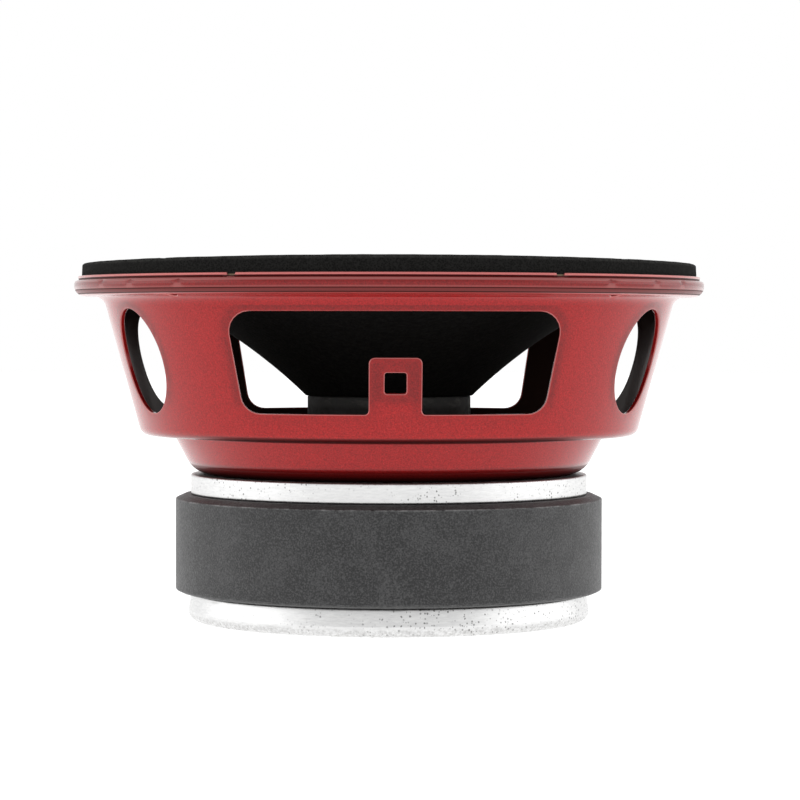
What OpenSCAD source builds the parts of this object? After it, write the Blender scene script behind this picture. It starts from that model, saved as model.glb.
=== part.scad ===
/* [Flange] */
// Outside diameter of the basket's flange
flange_d = 166; // [164:0.5:168]
// Height of the upright lip around the flange
lip_h = 5.2; // [4.8:0.1:5.6]
// Bolt circle of the mounting holes
mount_pcd = 157; // [156.6:0.1:157.4]
// Diameter of each mounting hole
mount_hole_d = 4.3; // [4:0.1:4.5]
// Number of mounting holes
mount_count = 4; // [4, 8]
// Height of the gasket above the flange's lip
gasket_proud = 4.2; // [3:0.1:5]

/* [Basket] */
// Thickness of the pressed steel sheet
sheet_t = 1.2; // [1:0.1:1.4]
// Height of the upper wall, from the spider shelf to the flange
wall_h = 36.3; // [36:0.1:39]
// Depth of the lower bowl, from the top plate to the spider shelf
bowl_h = 10.4; // [9:0.1:10.5]
// Width of each of the two large windows at its top edge
window_top_w = 82.8; // [76:0.2:84]
// Width of each of the two large windows at its sill
window_sill_w = 73.8; // [68:0.2:75]
// Height of the large windows
window_h = 25.4; // [23:0.2:26]
// How much lower and wider on each side the large rear window is than the front one
rear_window_drop = 1.8; // [0:0.1:2]
rear_window_ease = 1.2; // [0:0.1:1.5]
// Width of the tab that stands on the sill of each large window
tab_w = 13; // [11:0.2:15]
// Height of that tab
tab_h = 13.9; // [12:0.1:15]
// Side of the square hole in the tab
tab_hole = 5.3; // [5:0.1:5.6]
// Angle of each small window from the middle of the nearest large one
side_window_angle = 63.5; // [62:0.5:65]

/* [Motor] */
// Outside diameter of the ring magnet
magnet_d = 112.8; // [108:0.2:116]
// Thickness of the ring magnet
magnet_t = 25.5; // [20:0.1:28]
// Diameter of the top plate
top_plate_d = 104.8; // [104:0.2:108]
// Thickness of the top plate
top_plate_t = 5.3; // [5:0.1:8]
// Diameter of the back plate at its widest
back_plate_d = 106; // [104:0.2:108]
// Thickness of the back plate
back_plate_t = 7.6; // [5:0.1:8]
// Diameter of the pole
pole_d = 37.2; // [37:0.1:37.4]
// Diameter of the vent through the pole
vent_d = 14; // [8:0.5:18]

/* [Moving parts] */
// Diameter of the cone at its outer edge
cone_d = 126.4; // [125:0.2:127]
// Diameter of the cone where its curve starts at the neck
neck_d = 44.2; // [44:0.1:47]
// How far the cone's curve turns between neck and edge, in degrees
cone_turn = 20; // [14:1:24]
// Diameter of the dust cap
cap_d = 66; // [64:0.5:70]
// Height of the dust cap's dome
cap_h = 10.5; // [8:0.5:13]
// Length of the winding on the coil former
coil_h = 13; // [10:0.5:15]

/* [Hidden] */

round_fn = 128;
small_fn = 32;
arc_steps = 6;
hair = 0.02; // clearance between glued or pressed pieces of one body
glue = 0.3; // clearance between the soft parts and the pieces they are glued to
far = 60;

// Levels, measured up from the face that the back plate rests on
magnet_z = back_plate_t;
plate_z = magnet_z + magnet_t;
base_z = plate_z + top_plate_t;
shelf_z = base_z + bowl_h;
flange_z = shelf_z + wall_h;
lip_z = flange_z + lip_h;
gasket_top_z = lip_z + gasket_proud;
channel_z = flange_z + sheet_t;
sill_z = shelf_z + 7.1;

// Basket radii at the corners of its pressed section
base_hole_r = 24;
bowl_r = 51.3;
shelf_inner_r = 56.83;
shelf_outer_r = 65.35;
wall_top_r = 75.4;
flange_r = flange_d / 2;
wall_tilt = atan((wall_top_r - shelf_outer_r) / wall_h);
window_corner_r = 4.9;

// Surround: a half roll between two flat edges
edge_t = 0.6;
roll_inner_r = 63.4;
roll_outer_r = 73.4;
roll_r = (roll_outer_r - roll_inner_r) / 2;
roll_t = 0.8;
edge_outer_r = 80.1;
ring_outer_r = 81.3;
ring_inner_r = 74.4;
spacer_t = 3;

// Voice coil, its gap and what is glued to the former
cap_shell_t = 0.3;
former_r = 19.3;
former_t = 0.25;
winding_t = 0.78;
gap_r = 20.8;
pole_r = pole_d / 2;
former_out_r = former_r + former_t;
lead_t = 0.3;
sleeve_r = former_out_r + lead_t + 2 * hair;
collar_r = 21.6;
coil_z = plate_z + top_plate_t / 2 - coil_h / 2;
neck_z = 59.1;
cone_t = 0.7;
rim_w = 2.7;
rim_z = channel_z - glue - cone_t;
former_top_z = neck_z + 2.2;
magnet_bore_r = 27.5;

// Spider: rings of a cosine between two flats
spider_t = 0.6;
spider_z = shelf_z + sheet_t;
wave_start_r = 25;
wave_end_r = 53;
wave_count = 6;
wave_h = 2;
spider_outer_r = 63;
cuff_h = 3;

// Rivets between basket and top plate
rivet_count = 4;
rivet_pcr = 38;
rivet_r = 2.4;

// Terminal board, clipped to the tab in the rear window
tab_hole_z = sill_z + 7.6;
wall_r_at_hole = shelf_outer_r + (tab_hole_z - shelf_z) * tan(wall_tilt);
board_t = 1.6;
board_w = 27;
board_low = -6;
board_high = 7;
terminal_x = 8.6;
lead_hole_z = -3.5;
blade_t = 0.8;

// Tinsel leads: where they leave the cone, and their slack
eyelet_r = 30;
eyelet_turn = asin(terminal_x / eyelet_r);
lead_r = 0.7;
lead_sides = 8;

// The route of each lead, as [out, up], in a plane that lies terminal_x to one side
lead_points = [
  [28.7, 65.6], [29.2, 63], [31.4, 59.6], [35, 57.2], [40, 56], [46, 55.8], [52, 56.6], [58, 58.2],
  [63, 59.6], [66.4, 60.3], [69.4, 59.9], [71.4, 59.4]
];

// A path with the corner at b replaced by an arc of radius r
function unit(v) = v / norm(v);
function arc_corner(a, b, c, r) =
  let (
    u = unit(a - b),
    w = unit(c - b),
    half = acos(u * w) / 2,
    centre = b + unit(u + w) * r / sin(half),
    p = b + u * r / tan(half) - centre,
    q = b + w * r / tan(half) - centre,
    start = atan2(p[1], p[0]),
    raw = atan2(q[1], q[0]) - start,
    sweep = raw > 180 ? raw - 360 : raw < -180 ? raw + 360 : raw
  )
  [for (i = [0:arc_steps]) centre + r * [cos(start + sweep * i / arc_steps), sin(start + sweep * i / arc_steps)]];
function rounded(points, radii, closed = false) =
  let (n = len(points))
  [for (i = [0:n - 1])
    each (radii[i] == 0 || (!closed && (i == 0 || i == n - 1))
      ? [points[i]]
      : arc_corner(points[(i + n - 1) % n], points[i], points[(i + 1) % n], radii[i]))];

// The same path moved t to its left
function left_of(a, b) = let (d = unit(b - a)) [-d[1], d[0]];
function beside(points, t) =
  let (n = len(points))
  [for (i = [0:n - 1])
    let (
      before = left_of(points[max(i - 1, 0)], points[max(i, 1)]),
      after = left_of(points[min(i, n - 2)], points[min(i + 1, n - 1)]),
      middle = unit(before + after)
    )
    points[i] + t * middle / (middle * after)];
function reversed(points) = [for (i = [len(points) - 1:-1:0]) points[i]];
function strip(points, t) = concat(points, reversed(beside(points, t)));

// The basket's outside, from the hole in its base to the top of its lip
basket_path = rounded(
  [
    [base_hole_r, base_z], [bowl_r, base_z], [shelf_inner_r, shelf_z], [shelf_outer_r, shelf_z],
    [wall_top_r, flange_z], [flange_r, flange_z], [flange_r, lip_z]
  ],
  [0, 7, 1.2, 2.6, 3.4, 2.7, 0]
);

// The cone's lower face: an arc that flattens towards the edge
cone_start = [neck_d / 2, neck_z];
cone_end = [cone_d / 2 - rim_w, rim_z];
cone_chord = cone_end - cone_start;
cone_angle = atan2(cone_chord[1], cone_chord[0]) + cone_turn / 2;
cone_radius = norm(cone_chord) / (2 * sin(cone_turn / 2));
function cone_point(turn) =
  cone_start + cone_radius * [sin(cone_angle) - sin(cone_angle - turn), cos(cone_angle - turn) - cos(cone_angle)];
cone_steps = 14;
cone_arc = [for (i = [0:cone_steps]) cone_point(cone_turn * i / cone_steps)];
function cone_turn_at(r) = cone_angle - asin(sin(cone_angle) - (r - cone_start[0]) / cone_radius);
function cone_slope_at(r) = cone_angle - cone_turn_at(r);
function cone_z_at(r) = cone_point(cone_turn_at(r))[1];

module ring(outer, inner, z, h) {
  translate([0, 0, z]) rotate_extrude($fn = round_fn) translate([inner, 0]) square([outer - inner, h]);
}

module revolved(points) {
  rotate_extrude($fn = round_fn) polygon(points);
}

module mount_holes(z, h) {
  for (i = [0:mount_count - 1])
    rotate(45 + i * 360 / mount_count) translate([mount_pcd / 2, 0, z])
      cylinder(d = mount_hole_d, h = h, $fn = small_fn);
}

module rivet_holes(z, h) {
  for (i = [0:rivet_count - 1])
    rotate(45 + i * 360 / rivet_count) translate([rivet_pcr, 0, z])
      cylinder(r = rivet_r + hair, h = h, $fn = small_fn);
}

// Outline of a large window with the tab standing on its sill, let down and widened by the given amounts
module window_outline(drop = 0, ease = 0) {
  sill = window_sill_w / 2 + ease;
  top = window_top_w / 2 + ease;
  tab = tab_w / 2;
  polygon(rounded(
    [
      [-sill, -drop], [-tab, -drop], [-tab, tab_h], [tab, tab_h], [tab, -drop], [sill, -drop], [top, window_h],
      [-top, window_h]
    ],
    [window_corner_r, 1, 1.5, 1.5, 1, window_corner_r, window_corner_r, window_corner_r],
    true
  ));
}

module side_window_outline() {
  half_h = window_h / 2 + 0.7;
  translate([0, window_h / 2]) polygon([for (i = [0:71]) [12.4 * cos(i * 5), half_h * sin(i * 5)]]);
}

// A square of the given half side with rounded corners
function square_outline(side, r) =
  rounded([[-side, -side], [side, -side], [side, side], [-side, side]], [r, r, r, r], true);

// An upright outline pushed outwards through the wall, in the direction of -Y turned by angle
module through_wall(angle, z) {
  rotate(angle) translate([0, -far + 15, z]) rotate([90, 0, 0]) linear_extrude(height = far - 5) children();
}

module basket() {
  color("firebrick") difference() {
    revolved(strip(basket_path, sheet_t));
    for (turn = [0, 180]) {
      through_wall(turn, sill_z)
        if (turn == 0) window_outline();
        else window_outline(rear_window_drop, rear_window_ease);
      rotate(turn) on_tab() plate_on_board(square_outline(tab_hole / 2, 0.6), -3, 2);
      for (side = [-1, 1]) through_wall(turn + side * side_window_angle, sill_z) side_window_outline();
    }
    mount_holes(flange_z - 3, lip_h);
    rivet_holes(base_z - 1, sheet_t + 2);
  }
}

module mounting_gasket() {
  bottom = channel_z + edge_t + spacer_t + 3 * hair;
  section = rounded(
    [[ring_inner_r, bottom], [ring_outer_r, bottom], [ring_outer_r, gasket_top_z], [ring_inner_r, gasket_top_z]],
    [0, 0, 1.1, 0.8],
    true
  );
  color([0.1, 0.1, 0.09]) difference() {
    revolved(section);
    mount_holes(bottom - 1, far);
  }
}

module spacer_ring() {
  z = channel_z + edge_t + 2 * hair;
  color([0.36, 0.3, 0.24]) difference() {
    ring(ring_outer_r, ring_inner_r, z, spacer_t);
    mount_holes(z - 1, spacer_t + 2);
  }
}

module surround() {
  z = channel_z + hair;
  middle = (roll_inner_r + roll_outer_r) / 2;
  roll = [for (i = [0:16]) let (a = 180 - i * 180 / 16) [middle + roll_r * cos(a), z + roll_r * sin(a)]];
  path = concat([[roll_inner_r - 3, z]], roll, [[edge_outer_r, z]]);
  color([0.06, 0.06, 0.06]) difference() {
    revolved(strip(path, edge_t));
    mount_holes(z - 1, 3);
  }
}

module spider() {
  steps = wave_count * 8;
  wave = [for (i = [0:steps])
    [wave_start_r + (wave_end_r - wave_start_r) * i / steps, spider_z + hair + wave_h / 2 * (1 - cos(i * 45))]];
  path = concat([[sleeve_r + glue, spider_z + hair]], wave, [[spider_outer_r, spider_z + hair]]);
  color([0.55, 0.44, 0.26]) union() {
    revolved(strip(path, spider_t));
    ring(sleeve_r + glue + 0.7, sleeve_r + glue, spider_z + hair, cuff_h);
  }
}

module cone() {
  path = concat([[sleeve_r, neck_z]], cone_arc, [[cone_d / 2, rim_z]]);
  color([0.09, 0.09, 0.09]) difference() {
    revolved(strip(path, cone_t));
    at_eyelets() cylinder(r = 1.7, h = 8, center = true, $fn = small_fn);
  }
}

// Places its children on the cone's lower face at each eyelet, square to the paper
module at_eyelets() {
  for (side = [-1, 1])
    rotate(90 - side * eyelet_turn) translate([eyelet_r, 0, cone_z_at(eyelet_r)])
      rotate([0, -cone_slope_at(eyelet_r), 0]) children();
}

module dust_cap() {
  edge_r = cap_d / 2;
  paper_t = 0.6;
  foot = cone_z_at(edge_r) + cone_t / cos(cone_slope_at(edge_r)) + 0.1;
  sphere_r = (edge_r * edge_r + cap_h * cap_h) / (2 * cap_h);
  drop = sphere_r - cap_h;
  function dome(r) = [for (i = [0:12]) let (a = acos(drop / r) * (1 - i / 12)) [r * sin(a), foot - drop + r * cos(a)]];
  color([0.05, 0.05, 0.05]) revolved(concat(dome(sphere_r), reversed(dome(sphere_r - paper_t))));
}

module neck_collar() {
  top = neck_z - hair;
  bottom = spider_z + cuff_h + glue + 0.3;
  color([0.16, 0.15, 0.14]) revolved(rounded(
    [[sleeve_r, bottom], [collar_r, bottom], [collar_r, top], [sleeve_r, top]],
    [0, 0.8, 0.6, 0],
    true
  ));
}

module coil_former() {
  color([0.62, 0.5, 0.3]) ring(former_out_r, former_r, coil_z - 0.6, former_top_z - coil_z + 0.6);
}

module voice_coil() {
  color([0.72, 0.36, 0.17]) ring(former_out_r + winding_t, former_out_r + hair, coil_z, coil_h);
}

module coil_leadouts() {
  width = 1.6;
  lift = cone_t + hair;
  arc = [for (i = [0:6]) cone_point(cone_turn_at(eyelet_r - 3) * i / 6)];
  over_paper = beside(concat([[sleeve_r, neck_z]], arc), lift);
  color([0.75, 0.42, 0.2]) intersection() {
    union() {
      ring(former_out_r + hair + lead_t, former_out_r + hair, coil_z + coil_h + 0.3, 19.6);
      revolved(strip(over_paper, lead_t));
    }
    for (side = [-1, 1]) rotate(90 - side * eyelet_turn) translate([15, -width / 2, 0]) cube([40, width, 90]);
  }
}

module lead_eyelets() {
  flange_t = 0.25;
  flange_w_r = 2.4;
  color([0.8, 0.66, 0.35]) at_eyelets() difference() {
    union() {
      translate([0, 0, -0.45]) cylinder(r = 1.6, h = cone_t + 0.9, $fn = small_fn);
      translate([0, 0, cone_t + 0.2]) cylinder(r = flange_w_r, h = flange_t, $fn = small_fn);
      translate([0, 0, -0.45]) cylinder(r = flange_w_r, h = flange_t, $fn = small_fn);
    }
    cylinder(r = 1.15, h = 12, center = true, $fn = small_fn);
  }
}

module top_plate() {
  edge = 0.5;
  color("gainsboro") difference() {
    revolved(rounded(
      [[gap_r, plate_z], [top_plate_d / 2, plate_z], [top_plate_d / 2, base_z - hair], [gap_r, base_z - hair]],
      [0, edge, edge, 0],
      true
    ));
    rivet_holes(plate_z - 1, top_plate_t + 2);
  }
}

module magnet() {
  low_bevel = 0.7;
  high_bevel = 1.1;
  high_bevel_w = 2.4;
  r = magnet_d / 2;
  low = magnet_z + hair;
  high = plate_z - hair;
  color([0.27, 0.27, 0.28]) revolved([
    [magnet_bore_r, low], [r - low_bevel, low], [r, low + low_bevel], [r, high - high_bevel],
    [r - high_bevel_w, high], [magnet_bore_r, high]
  ]);
}

module t_yoke() {
  r = back_plate_d / 2;
  seat_r = vent_d / 2 + 1.2;
  color("gainsboro") difference() {
    union() {
      revolved(rounded(
        [[0, 0], [r, 0], [r, 1.8], [r - 0.8, back_plate_t], [0, back_plate_t]],
        [0, 1.5, 1.2, 0.4, 0],
        true
      ));
      cylinder(r = pole_r, h = base_z, $fn = round_fn);
    }
    translate([0, 0, -1]) cylinder(d = vent_d, h = far, $fn = round_fn);
    translate([0, 0, -1]) cylinder(r = seat_r, h = 2.2, $fn = round_fn);
  }
}

module shorting_cap() {
  r = pole_r + cap_shell_t;
  color([0.72, 0.42, 0.26]) difference() {
    translate([0, 0, plate_z - 2]) cylinder(r = r, h = top_plate_t + 2 + cap_shell_t, $fn = round_fn);
    translate([0, 0, plate_z - 3]) cylinder(r = pole_r + hair, h = top_plate_t + 3 + hair, $fn = round_fn);
    cylinder(d = vent_d + 1, h = far, $fn = round_fn);
  }
}

module vent_mesh() {
  color([0.2, 0.2, 0.2]) difference() {
    translate([0, 0, 0.5]) cylinder(r = vent_d / 2 + 1.2 - hair, h = 0.6, $fn = round_fn);
    for (row = [0:2]) for (i = [0:max(row * 6, 1) - 1])
      rotate(i * 60 / max(row, 1)) translate([row * 2.4, 0, 0]) cylinder(r = 0.8, h = 3, $fn = 16);
  }
}

module basket_rivets() {
  head_z = base_z + sheet_t + hair;
  color("silver") for (i = [0:rivet_count - 1])
    rotate(45 + i * 360 / rivet_count) translate([rivet_pcr, 0, 0]) {
      translate([0, 0, plate_z + 0.3]) cylinder(r = rivet_r, h = head_z - plate_z, $fn = small_fn);
      translate([0, 0, head_z]) cylinder(r1 = 4.2, r2 = 3, h = 1.3, $fn = small_fn);
    }
}

// On the rear tab: across is +X, outwards from the wall is +Y, and up the wall is +Z
module on_tab() {
  translate([0, wall_r_at_hole, tab_hole_z]) rotate([-wall_tilt, 0, 0]) children();
}

module across_board(r, x, z, from, to) {
  translate([x, from, z]) rotate([-90, 0, 0]) cylinder(r = r, h = to - from, $fn = small_fn);
}

module plate_on_board(outline, from, to) {
  translate([0, to, 0]) rotate([90, 0, 0]) linear_extrude(height = to - from) polygon(outline);
}

module terminal_board() {
  side = board_w / 2;
  hole = tab_hole / 2;
  outline = rounded(
    [[-side, board_low], [side, board_low], [side, board_high], [-side, board_high]],
    [1.5, 1.5, 1.5, 1.5],
    true
  );
  color([0.1, 0.1, 0.1]) on_tab() difference() {
    plate_on_board(outline, hair, board_t);
    translate([-hole, -1, -hole]) cube([tab_hole, 4, tab_hole]);
    for (x = [-terminal_x, terminal_x]) {
      across_board(1.15, x, lead_hole_z, -1, 4);
      across_board(1.2, x, 2.5, -1, 4);
    }
  }
}

module board_clip() {
  shank = tab_hole - 0.1;
  side = shank / 2;
  inner = sheet_t + 0.25;
  color([0.14, 0.14, 0.14]) on_tab() union() {
    plate_on_board(square_outline(side, 0.7), -inner - 0.6, board_t + 0.2);
    translate([-4.2, board_t + hair, -4.2]) cube([8.4, 1.2, 8.4]);
    translate([-3.4, -inner - 1.2, -side]) cube([6.8, 1.2, shank]);
  }
}

// A blade that stands up from the board, with the hole its lead is soldered in
module terminal(x, width) {
  low = board_low + 0.8;
  blade = width / 2;
  outline = rounded(
    [[x - 3, low], [x + 3, low], [x + 3, 5], [x + blade, 6], [x + blade, 14], [x - blade, 14], [x - blade, 6], [x - 3, 5]],
    [0.8, 0.8, 0.4, 0.4, 0.9, 0.9, 0.4, 0.4],
    true
  );
  from = board_t + hair;
  color([0.83, 0.7, 0.38]) on_tab() difference() {
    plate_on_board(outline, from, from + blade_t);
    across_board(1.15, x, lead_hole_z, 0, 5);
    across_board(1.2, x, 2.5, 0, 5);
    across_board(0.7, x, 10.5, 0, 5);
  }
}

module terminal_positive() {
  terminal(terminal_x, 4.8);
}

module terminal_negative() {
  terminal(-terminal_x, 2.8);
}

module terminal_rivets() {
  outer = board_t + blade_t + 2 * hair;
  color("silver") on_tab() for (x = [-terminal_x, terminal_x]) {
    across_board(1.17, x, 2.5, -0.6, outer);
    across_board(2.1, x, 2.5, outer, outer + 0.7);
    across_board(1.75, x, 2.5, -0.6, 0);
  }
}

module lead_solder() {
  outer = board_t + blade_t + 2 * hair;
  color([0.7, 0.7, 0.72]) on_tab() for (x = [-terminal_x, terminal_x])
    translate([x, outer, lead_hole_z]) rotate([-90, 0, 0]) difference() {
      cylinder(r1 = 1.9, r2 = 1, h = 1.1, $fn = small_fn);
      translate([0, 0, -1]) cylinder(r = lead_r + 0.15, h = 1.6, $fn = small_fn);
    }
}

// A round lead swept along the route's own points
module lead(side) {
  n = len(lead_points);
  points = [for (p = lead_points) [terminal_x * side, p[0], p[1]]];
  rings = [for (i = [0:n - 1])
    let (
      along = unit(points[min(i + 1, n - 1)] - points[max(i - 1, 0)]),
      across = [1, 0, 0],
      up = cross(along, across)
    )
    each [for (k = [0:lead_sides - 1])
      let (a = k * 360 / lead_sides) points[i] + lead_r * (cos(a) * across + sin(a) * up)]];
  last = (n - 1) * lead_sides;
  faces = concat(
    [[for (k = [0:lead_sides - 1]) k]],
    [for (i = [0:n - 2]) for (k = [0:lead_sides - 1])
      let (next = (k + 1) % lead_sides)
      [i * lead_sides + k, (i + 1) * lead_sides + k, (i + 1) * lead_sides + next, i * lead_sides + next]],
    [[for (k = [lead_sides - 1:-1:0]) last + k]]
  );
  color([0.78, 0.68, 0.45]) polyhedron(rings, faces);
}

module tinsel_lead_positive() {
  lead(1);
}

module tinsel_lead_negative() {
  lead(-1);
}

basket();
mounting_gasket();
spacer_ring();
surround();
spider();
cone();
dust_cap();
neck_collar();
coil_former();
voice_coil();
coil_leadouts();
lead_eyelets();
top_plate();
magnet();
t_yoke();
shorting_cap();
vent_mesh();
basket_rivets();
terminal_board();
board_clip();
terminal_positive();
terminal_negative();
terminal_rivets();
lead_solder();
tinsel_lead_positive();
tinsel_lead_negative();
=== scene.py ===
import math

import bmesh
import bpy
from mathutils import Matrix, Quaternion, Vector
from mathutils.geometry import delaunay_2d_cdt


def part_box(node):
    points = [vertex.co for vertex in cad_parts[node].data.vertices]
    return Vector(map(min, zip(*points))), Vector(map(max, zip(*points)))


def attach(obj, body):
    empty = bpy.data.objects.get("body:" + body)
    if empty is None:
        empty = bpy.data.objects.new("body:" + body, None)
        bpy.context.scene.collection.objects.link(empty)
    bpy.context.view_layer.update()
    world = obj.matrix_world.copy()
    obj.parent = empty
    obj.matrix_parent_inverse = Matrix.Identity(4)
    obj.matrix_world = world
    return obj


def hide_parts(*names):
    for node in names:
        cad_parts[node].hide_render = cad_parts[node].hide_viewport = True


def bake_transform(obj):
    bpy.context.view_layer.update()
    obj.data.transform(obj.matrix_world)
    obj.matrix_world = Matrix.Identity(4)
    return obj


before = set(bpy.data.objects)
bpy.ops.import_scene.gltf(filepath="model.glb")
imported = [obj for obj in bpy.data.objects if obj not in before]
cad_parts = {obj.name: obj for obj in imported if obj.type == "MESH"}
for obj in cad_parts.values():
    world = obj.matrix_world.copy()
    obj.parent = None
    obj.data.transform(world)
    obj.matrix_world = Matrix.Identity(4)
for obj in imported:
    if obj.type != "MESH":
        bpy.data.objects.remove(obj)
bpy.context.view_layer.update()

scene = bpy.context.scene
mm = 0.001


def levelOf(node, top=False):
    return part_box(node)[1 if top else 0].z / mm


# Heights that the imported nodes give, in millimetres
level = {
    "magnet": levelOf("magnet"),
    "magnetTop": levelOf("magnet", True),
    "plate": levelOf("top_plate"),
    "plateTop": levelOf("top_plate", True),
    "base": levelOf("basket"),
    "lip": levelOf("basket", True),
    "surround": levelOf("surround"),
    "spacer": levelOf("spacer_ring"),
    "gasket": levelOf("mounting_gasket"),
    "gasketTop": levelOf("mounting_gasket", True),
    "spider": levelOf("spider"),
    "collar": levelOf("neck_collar"),
    "coneNeck": levelOf("neck_collar", True) + 0.02,
    "coilLow": levelOf("voice_coil"),
    "coilTop": levelOf("voice_coil", True),
    "formerLow": levelOf("coil_former"),
    "formerTop": levelOf("coil_former", True),
}
sheetT = 1.2
shelfZ = level["base"] + 10.4
flangeZ = shelfZ + 36.3
sillZ = shelfZ + 7.1
channelZ = flangeZ + sheetT
wallFoot = 65.35
wallTop = 75.4
wallTilt = math.atan((wallTop - wallFoot) / (flangeZ - shelfZ))
mountRadius = 78.5
mountHole = 2.15
mountAngles = [45, 135, 225, 315]
tabHole = 2.65
tabZ = sillZ + 7.6
gapJoint = 0.02


# Paths and plain mesh helpers

def roundedPath(points, radii, closed=False, steps=6, longest=1.5, support=0.3):
    count = len(points)
    corners = []
    for i, (point, radius) in enumerate(zip(points, radii)):
        here = Vector(point)
        if radius == 0 or (not closed and i in (0, count - 1)):
            corners.append([here])
            continue
        u = (Vector(points[i - 1]) - here).normalized()
        w = (Vector(points[(i + 1) % count]) - here).normalized()
        half = math.acos(max(-1, min(1, u.dot(w)))) / 2
        centre = here + (u + w).normalized() * radius / math.sin(half)
        start = here + u * radius / math.tan(half) - centre
        end = here + w * radius / math.tan(half) - centre
        first = math.atan2(start.y, start.x)
        sweep = math.atan2(end.y, end.x) - first
        if sweep > math.pi:
            sweep -= 2 * math.pi
        if sweep < -math.pi:
            sweep += 2 * math.pi
        turns = [first + sweep * k / steps for k in range(steps + 1)]
        corners.append([centre + radius * Vector((math.cos(a), math.sin(a))) for a in turns])
    path = []
    for i, corner in enumerate(corners):
        path += corner
        if i == count - 1 and not closed:
            break
        a, b = corner[-1], corners[(i + 1) % count][0]
        length = (b - a).length
        ease = min(support, length / 3)
        if length < 0.3:
            continue
        pieces = max(1, math.ceil((length - 2 * ease) / longest))
        stops = [ease + (length - 2 * ease) * k / pieces for k in range(pieces + 1)]
        path += [a.lerp(b, stop / length) for stop in stops]
    return [(p.x, p.y) for p in path]


def sideways(path, i, closed):
    count = len(path)
    before = path[(i - 1) % count if closed else max(i - 1, 0)]
    after = path[(i + 1) % count if closed else min(i + 1, count - 1)]
    here = Vector(path[i])
    ways = ((here - Vector(before)).normalized(), (Vector(after) - here).normalized())
    parts = [Vector((-way.y, way.x)) for way in ways if way.length > 0]
    middle = sum(parts, Vector((0, 0))).normalized()
    return middle / max(0.5, middle.dot(parts[-1]))


def beside(path, distance, closed=False):
    moved = []
    for i, point in enumerate(path):
        shift = sideways(path, i, closed) * distance
        moved.append((point[0] + shift.x, point[1] + shift.y))
    return moved


# The faces between two closed rings of points
def bridge(a, b):
    size = len(a)
    return [(a[k], a[(k + 1) % size], b[(k + 1) % size], b[k]) for k in range(size)]


# A rounded edge as pairs of set-back and depth
def edgeRounding(radius, turns):
    angles = [math.radians(turn) for turn in turns]
    return [(radius * (1 - math.sin(a)), radius * (1 - math.cos(a))) for a in angles]


def insideLoops(loops, x, y):
    crossings = 0
    for loop in loops:
        for a, b in zip(loop, loop[1:] + loop[:1]):
            if (a[1] > y) != (b[1] > y) and x < a[0] + (y - a[1]) / (b[1] - a[1]) * (b[0] - a[0]):
                crossings += 1
    return crossings % 2 == 1


# The triangles that fill closed loops, as indices into the points
def fillLoops(points, edges, loops, wantInside):
    made, _, triangles, sources, _, _ = delaunay_2d_cdt([Vector(p) for p in points], edges, [], 0, 1e-5)
    found = []
    for triangle in triangles:
        x = sum(made[k].x for k in triangle) / 3
        y = sum(made[k].y for k in triangle) / 3
        if insideLoops(loops, x, y) == wantInside:
            found.append([sources[k][0] for k in triangle])
    return found


def makeObject(name, verts, faces, edges=()):
    mesh = bpy.data.meshes.new(name)
    mesh.from_pydata([tuple(c * mm for c in v) for v in verts], list(edges), faces)
    obj = bpy.data.objects.new(name, mesh)
    scene.collection.objects.link(obj)
    return obj


def markEdges(mesh):
    work = bmesh.new()
    work.from_mesh(mesh)
    values = []
    for vert in work.verts:
        sharpest = max((e.calc_face_angle_signed(0) for e in vert.link_edges), default=0)
        values.append(max(0, min(1, (sharpest - 0.08) / 0.3)))
    work.free()
    attribute = mesh.attributes.get("edgeMask") or mesh.attributes.new("edgeMask", "FLOAT", "POINT")
    attribute.data.foreach_set("value", values)


def finishPiece(obj, slot, nodes, body, sharp=60, weld=0.002):
    work = bmesh.new()
    work.from_mesh(obj.data)
    bmesh.ops.remove_doubles(work, verts=work.verts, dist=weld * mm)
    bmesh.ops.dissolve_degenerate(work, dist=1e-7, edges=work.edges)
    loose = [v for v in work.verts if not v.link_faces]
    bmesh.ops.delete(work, geom=loose, context="VERTS")
    bmesh.ops.recalc_face_normals(work, faces=work.faces)
    work.to_mesh(obj.data)
    work.free()
    mesh = obj.data
    mesh.polygons.foreach_set("use_smooth", [True] * len(mesh.polygons))
    mesh.set_sharp_from_angle(angle=math.radians(sharp))
    mesh.materials.clear()
    mesh.materials.append(finishes[slot])
    markEdges(mesh)
    if body:
        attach(obj, body)
    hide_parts(*nodes)
    return obj


def joinObjects(name, parts):
    work = bmesh.new()
    for part in parts:
        work.from_mesh(part.data)
    joined = makeObject(name, [], [])
    work.to_mesh(joined.data)
    work.free()
    for part in parts:
        bpy.data.objects.remove(part)
    return joined


# Node tree helpers

def newTree(name, kind, inputs, outputs):
    tree = bpy.data.node_groups.new(name, kind)
    for label, socket, value in inputs:
        made = tree.interface.new_socket(label, in_out="INPUT", socket_type="NodeSocket" + socket)
        if value is not None:
            made.default_value = value
    for label, socket in outputs:
        tree.interface.new_socket(label, in_out="OUTPUT", socket_type="NodeSocket" + socket)
    return tree, tree.nodes.new("NodeGroupInput"), tree.nodes.new("NodeGroupOutput")


def addNode(tree, kind, links=None, values=None, **settings):
    node = tree.nodes.new(kind)
    for key, value in settings.items():
        setattr(node, key, value)
    for key, value in (values or {}).items():
        node.inputs[key].default_value = value
    for key, source in (links or {}).items():
        tree.links.new(source, node.inputs[key])
    return node


# A maths node on sockets or plain numbers
def mathNode(tree, operation, *sides, **settings):
    links = {k: side for k, side in enumerate(sides) if isinstance(side, bpy.types.NodeSocket)}
    values = {k: side for k, side in enumerate(sides) if k not in links}
    return addNode(tree, "ShaderNodeMath", links, values, operation=operation, **settings).outputs[0]


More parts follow.
